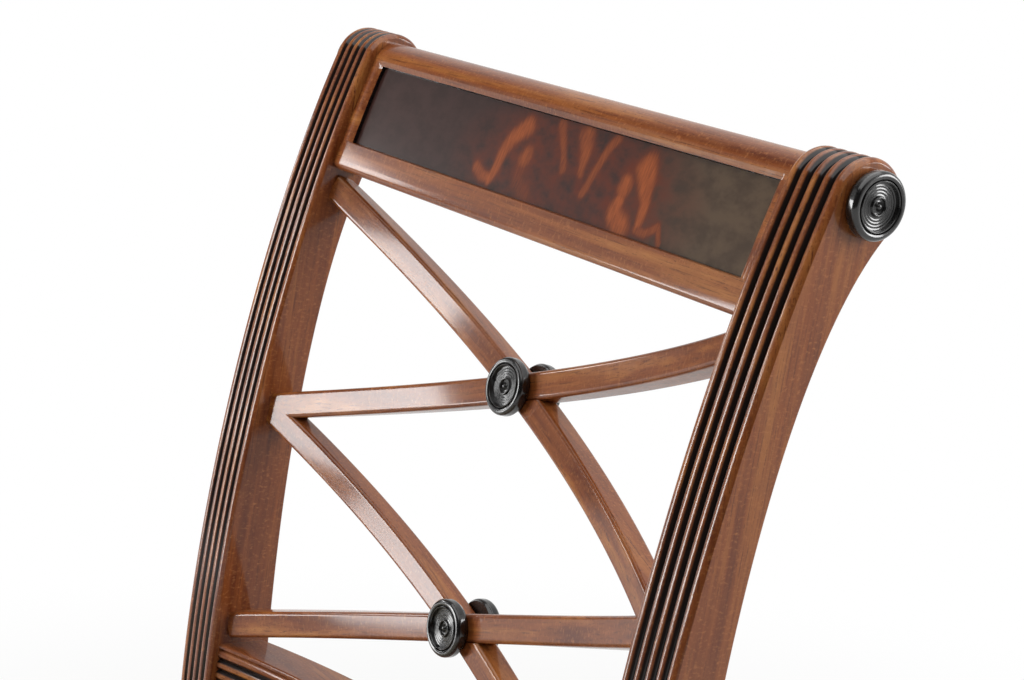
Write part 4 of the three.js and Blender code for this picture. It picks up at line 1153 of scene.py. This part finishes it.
def make_lining():
    """The black cloth tacked under the seat frame, hanging a little in its middle."""
    plan = [np.array(corner) for corner in seat_plan(-LINING_INSET)]
    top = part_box("seat_lining")[1].z / MM
    points, faces = [], []
    n = 24
    for i in range(n + 1):
        for j in range(n + 1):
            s, t = i / n, j / n
            x, y = (plan[0] * (1 - s) + plan[1] * s) * (1 - t) + (plan[3] * (1 - s) + plan[2] * s) * t
            sag = LINING_SAG * math.sin(math.pi * s) * math.sin(math.pi * t)
            points.append((x, y, top - sag))
    for i in range(n):
        for j in range(n):
            a = i * (n + 1) + j
            faces.append((a, a + n + 1, a + n + 2, a + 1))
    piece = new_piece("lining_cloth_sheet", points, faces)
    cleaned(modified(piece, "SOLIDIFY", thickness=LINING_THICK * MM, offset=-1))
    piece.data.shade_smooth()
    placed(piece, LINING, "lining_cloth", "seat_lining", body="seat")


make_stiles()
make_crest()
make_veneer()
make_bars()
make_discs()
make_lower_rail()
make_front_legs()
make_seat_rails()
make_rear_rail()
make_cushion()
make_lining()

# Nodes whose own shape is right keep it and get their finish.
for node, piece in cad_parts.items():
    for prefix, material in (
        ("corner_block", BEECH), ("seat_bearer", BEECH), ("seat_frame", BEECH), ("crossing_dowel", BEECH),
        ("screw", STEEL), ("glide", NYLON), ("webbing", JUTE),
    ):
        if node.startswith(prefix) and not piece.hide_render:
            piece.data.materials.clear()
            piece.data.materials.append(material)


# Camera, at the place that the photo's perspective gives

lens = bpy.data.cameras.new("camera")
lens.sensor_width, lens.lens = 36, 73.83
lens.clip_start, lens.clip_end = 0.01, 100
camera = in_scene("camera", lens)
right, up = Vector((0.56065, 0.82805, 0)), Vector((-0.24851, 0.16826, 0.9539))
back = Vector((0.78988, -0.53481, 0.30011))
camera.matrix_world = Matrix.Translation((0.9252, -0.391, 1.0759)) @ Matrix((right, up, back)).transposed().to_4x4()
bpy.context.scene.camera = camera


# Studio

def softbox(name, place, target, size, power):
    lamp = bpy.data.lights.new(name, "AREA")
    lamp.shape, lamp.size, lamp.size_y, lamp.energy = "RECTANGLE", *size, power
    way = Vector(target) - Vector(place)
    turn = way.to_track_quat("-Z", "Y").to_matrix().to_4x4()
    in_scene(name, lamp).matrix_world = Matrix.Translation(place) @ turn


def seen_rays(tree):
    """1 for what the camera sees itself, in a reflection or through glass."""
    rays = add(tree, "ShaderNodeLightPath").outputs
    seen = rays["Is Camera Ray"]
    for ray in ("Is Glossy Ray", "Is Transmission Ray"):
        seen = add(tree, "ShaderNodeMath", {0: seen, 1: rays[ray]}, operation="MAXIMUM").outputs[0]
    return seen


def make_floor():
    """A white floor that keeps the chair's shadow near its feet and turns plain white further out."""
    floor = new_piece("floor", [(x, y, 0) for x, y in ((-9000, -9000), (9000, -9000), (9000, 9000), (-9000, 9000))],
                      [(0, 1, 2, 3)])
    material = bpy.data.materials.new("white_floor")
    material.use_nodes = True
    tree = material.node_tree
    tree.nodes.clear()
    place = add(tree, "ShaderNodeTexCoord").outputs["Object"]
    distance = add(tree, "ShaderNodeVectorMath", {0: place}, operation="LENGTH").outputs["Value"]
    far = add(tree, "ShaderNodeMapRange", {"Value": distance, "From Min": 0.5, "From Max": 1.5},
              interpolation_type="SMOOTHSTEP").outputs[0]
    matt = add(tree, "ShaderNodeBsdfDiffuse", {"Color": linear("#e6e6e4")}).outputs[0]
    glow = add(tree, "ShaderNodeEmission", {"Color": (1, 1, 1, 1), "Strength": 1.0}).outputs[0]
    near_glow = add(tree, "ShaderNodeMixShader", {0: 0.35, 1: matt, 2: glow}).outputs[0]
    shown = add(tree, "ShaderNodeMixShader", {0: far, 1: near_glow, 2: glow}).outputs[0]
    mix = add(tree, "ShaderNodeMixShader", {0: seen_rays(tree), 1: matt, 2: shown}).outputs[0]
    add(tree, "ShaderNodeOutputMaterial", {0: mix})
    floor.data.materials.append(material)


def make_world():
    """Plain white for the eye. The chair is lit by a white backdrop behind it, and by a dim room in front of it."""
    world = bpy.data.worlds.new("studio")
    bpy.context.scene.world = world
    world.use_nodes = True
    tree = world.node_tree
    tree.nodes.clear()
    way = add(tree, "ShaderNodeTexCoord").outputs["Generated"]
    parts = add(tree, "ShaderNodeSeparateXYZ", {0: way}).outputs
    room, level = 0.06, 0.81
    for part, dark, bright in ((parts[2], 1.0, 0.55), (parts[1], -0.2, 0.4)):
        level = add(tree, "ShaderNodeMapRange", {
            "Value": part, "From Min": dark, "From Max": bright, "To Min": room, "To Max": level,
        }, interpolation_type="SMOOTHSTEP").outputs[0]
    rays = add(tree, "ShaderNodeLightPath").outputs
    strength = add(tree, "ShaderNodeMix", {0: rays["Is Camera Ray"], 2: level, 3: 1.0}, data_type="FLOAT").outputs[0]
    sky = add(tree, "ShaderNodeBackground", {"Color": (1, 1, 1, 1), "Strength": strength}).outputs[0]
    add(tree, "ShaderNodeOutputWorld", {0: sky})


make_floor()
make_world()
softbox("front_softbox", (-0.88, -1.07, 0.93), (-0.05, 0.2, 0.7), (0.55, 0.55), 14)
softbox("left_card", (-1.25, -0.3, 0.97), (0, 0.2, 0.8), (0.3, 0.2), 1.9)
softbox("low_card", (-1.04, -0.9, 0.5), (-0.1, 0.2, 0.6), (0.34, 0.34), 4)
softbox("high_softbox", (-1.6, -1.2, 1.75), (0.1, 0.2, 0.8), (1.5, 1.2), 2.6)
softbox("top_softbox", (0.1, 0.3, 2.2), (0.1, 0.2, 0.8), (2.2, 2.2), 32)
softbox("right_softbox", (0.85, 1.1, 1.0), (0.2, 0.2, 0.6), (0.5, 0.5), 9)

bpy.context.scene.view_settings.view_transform = "Standard"
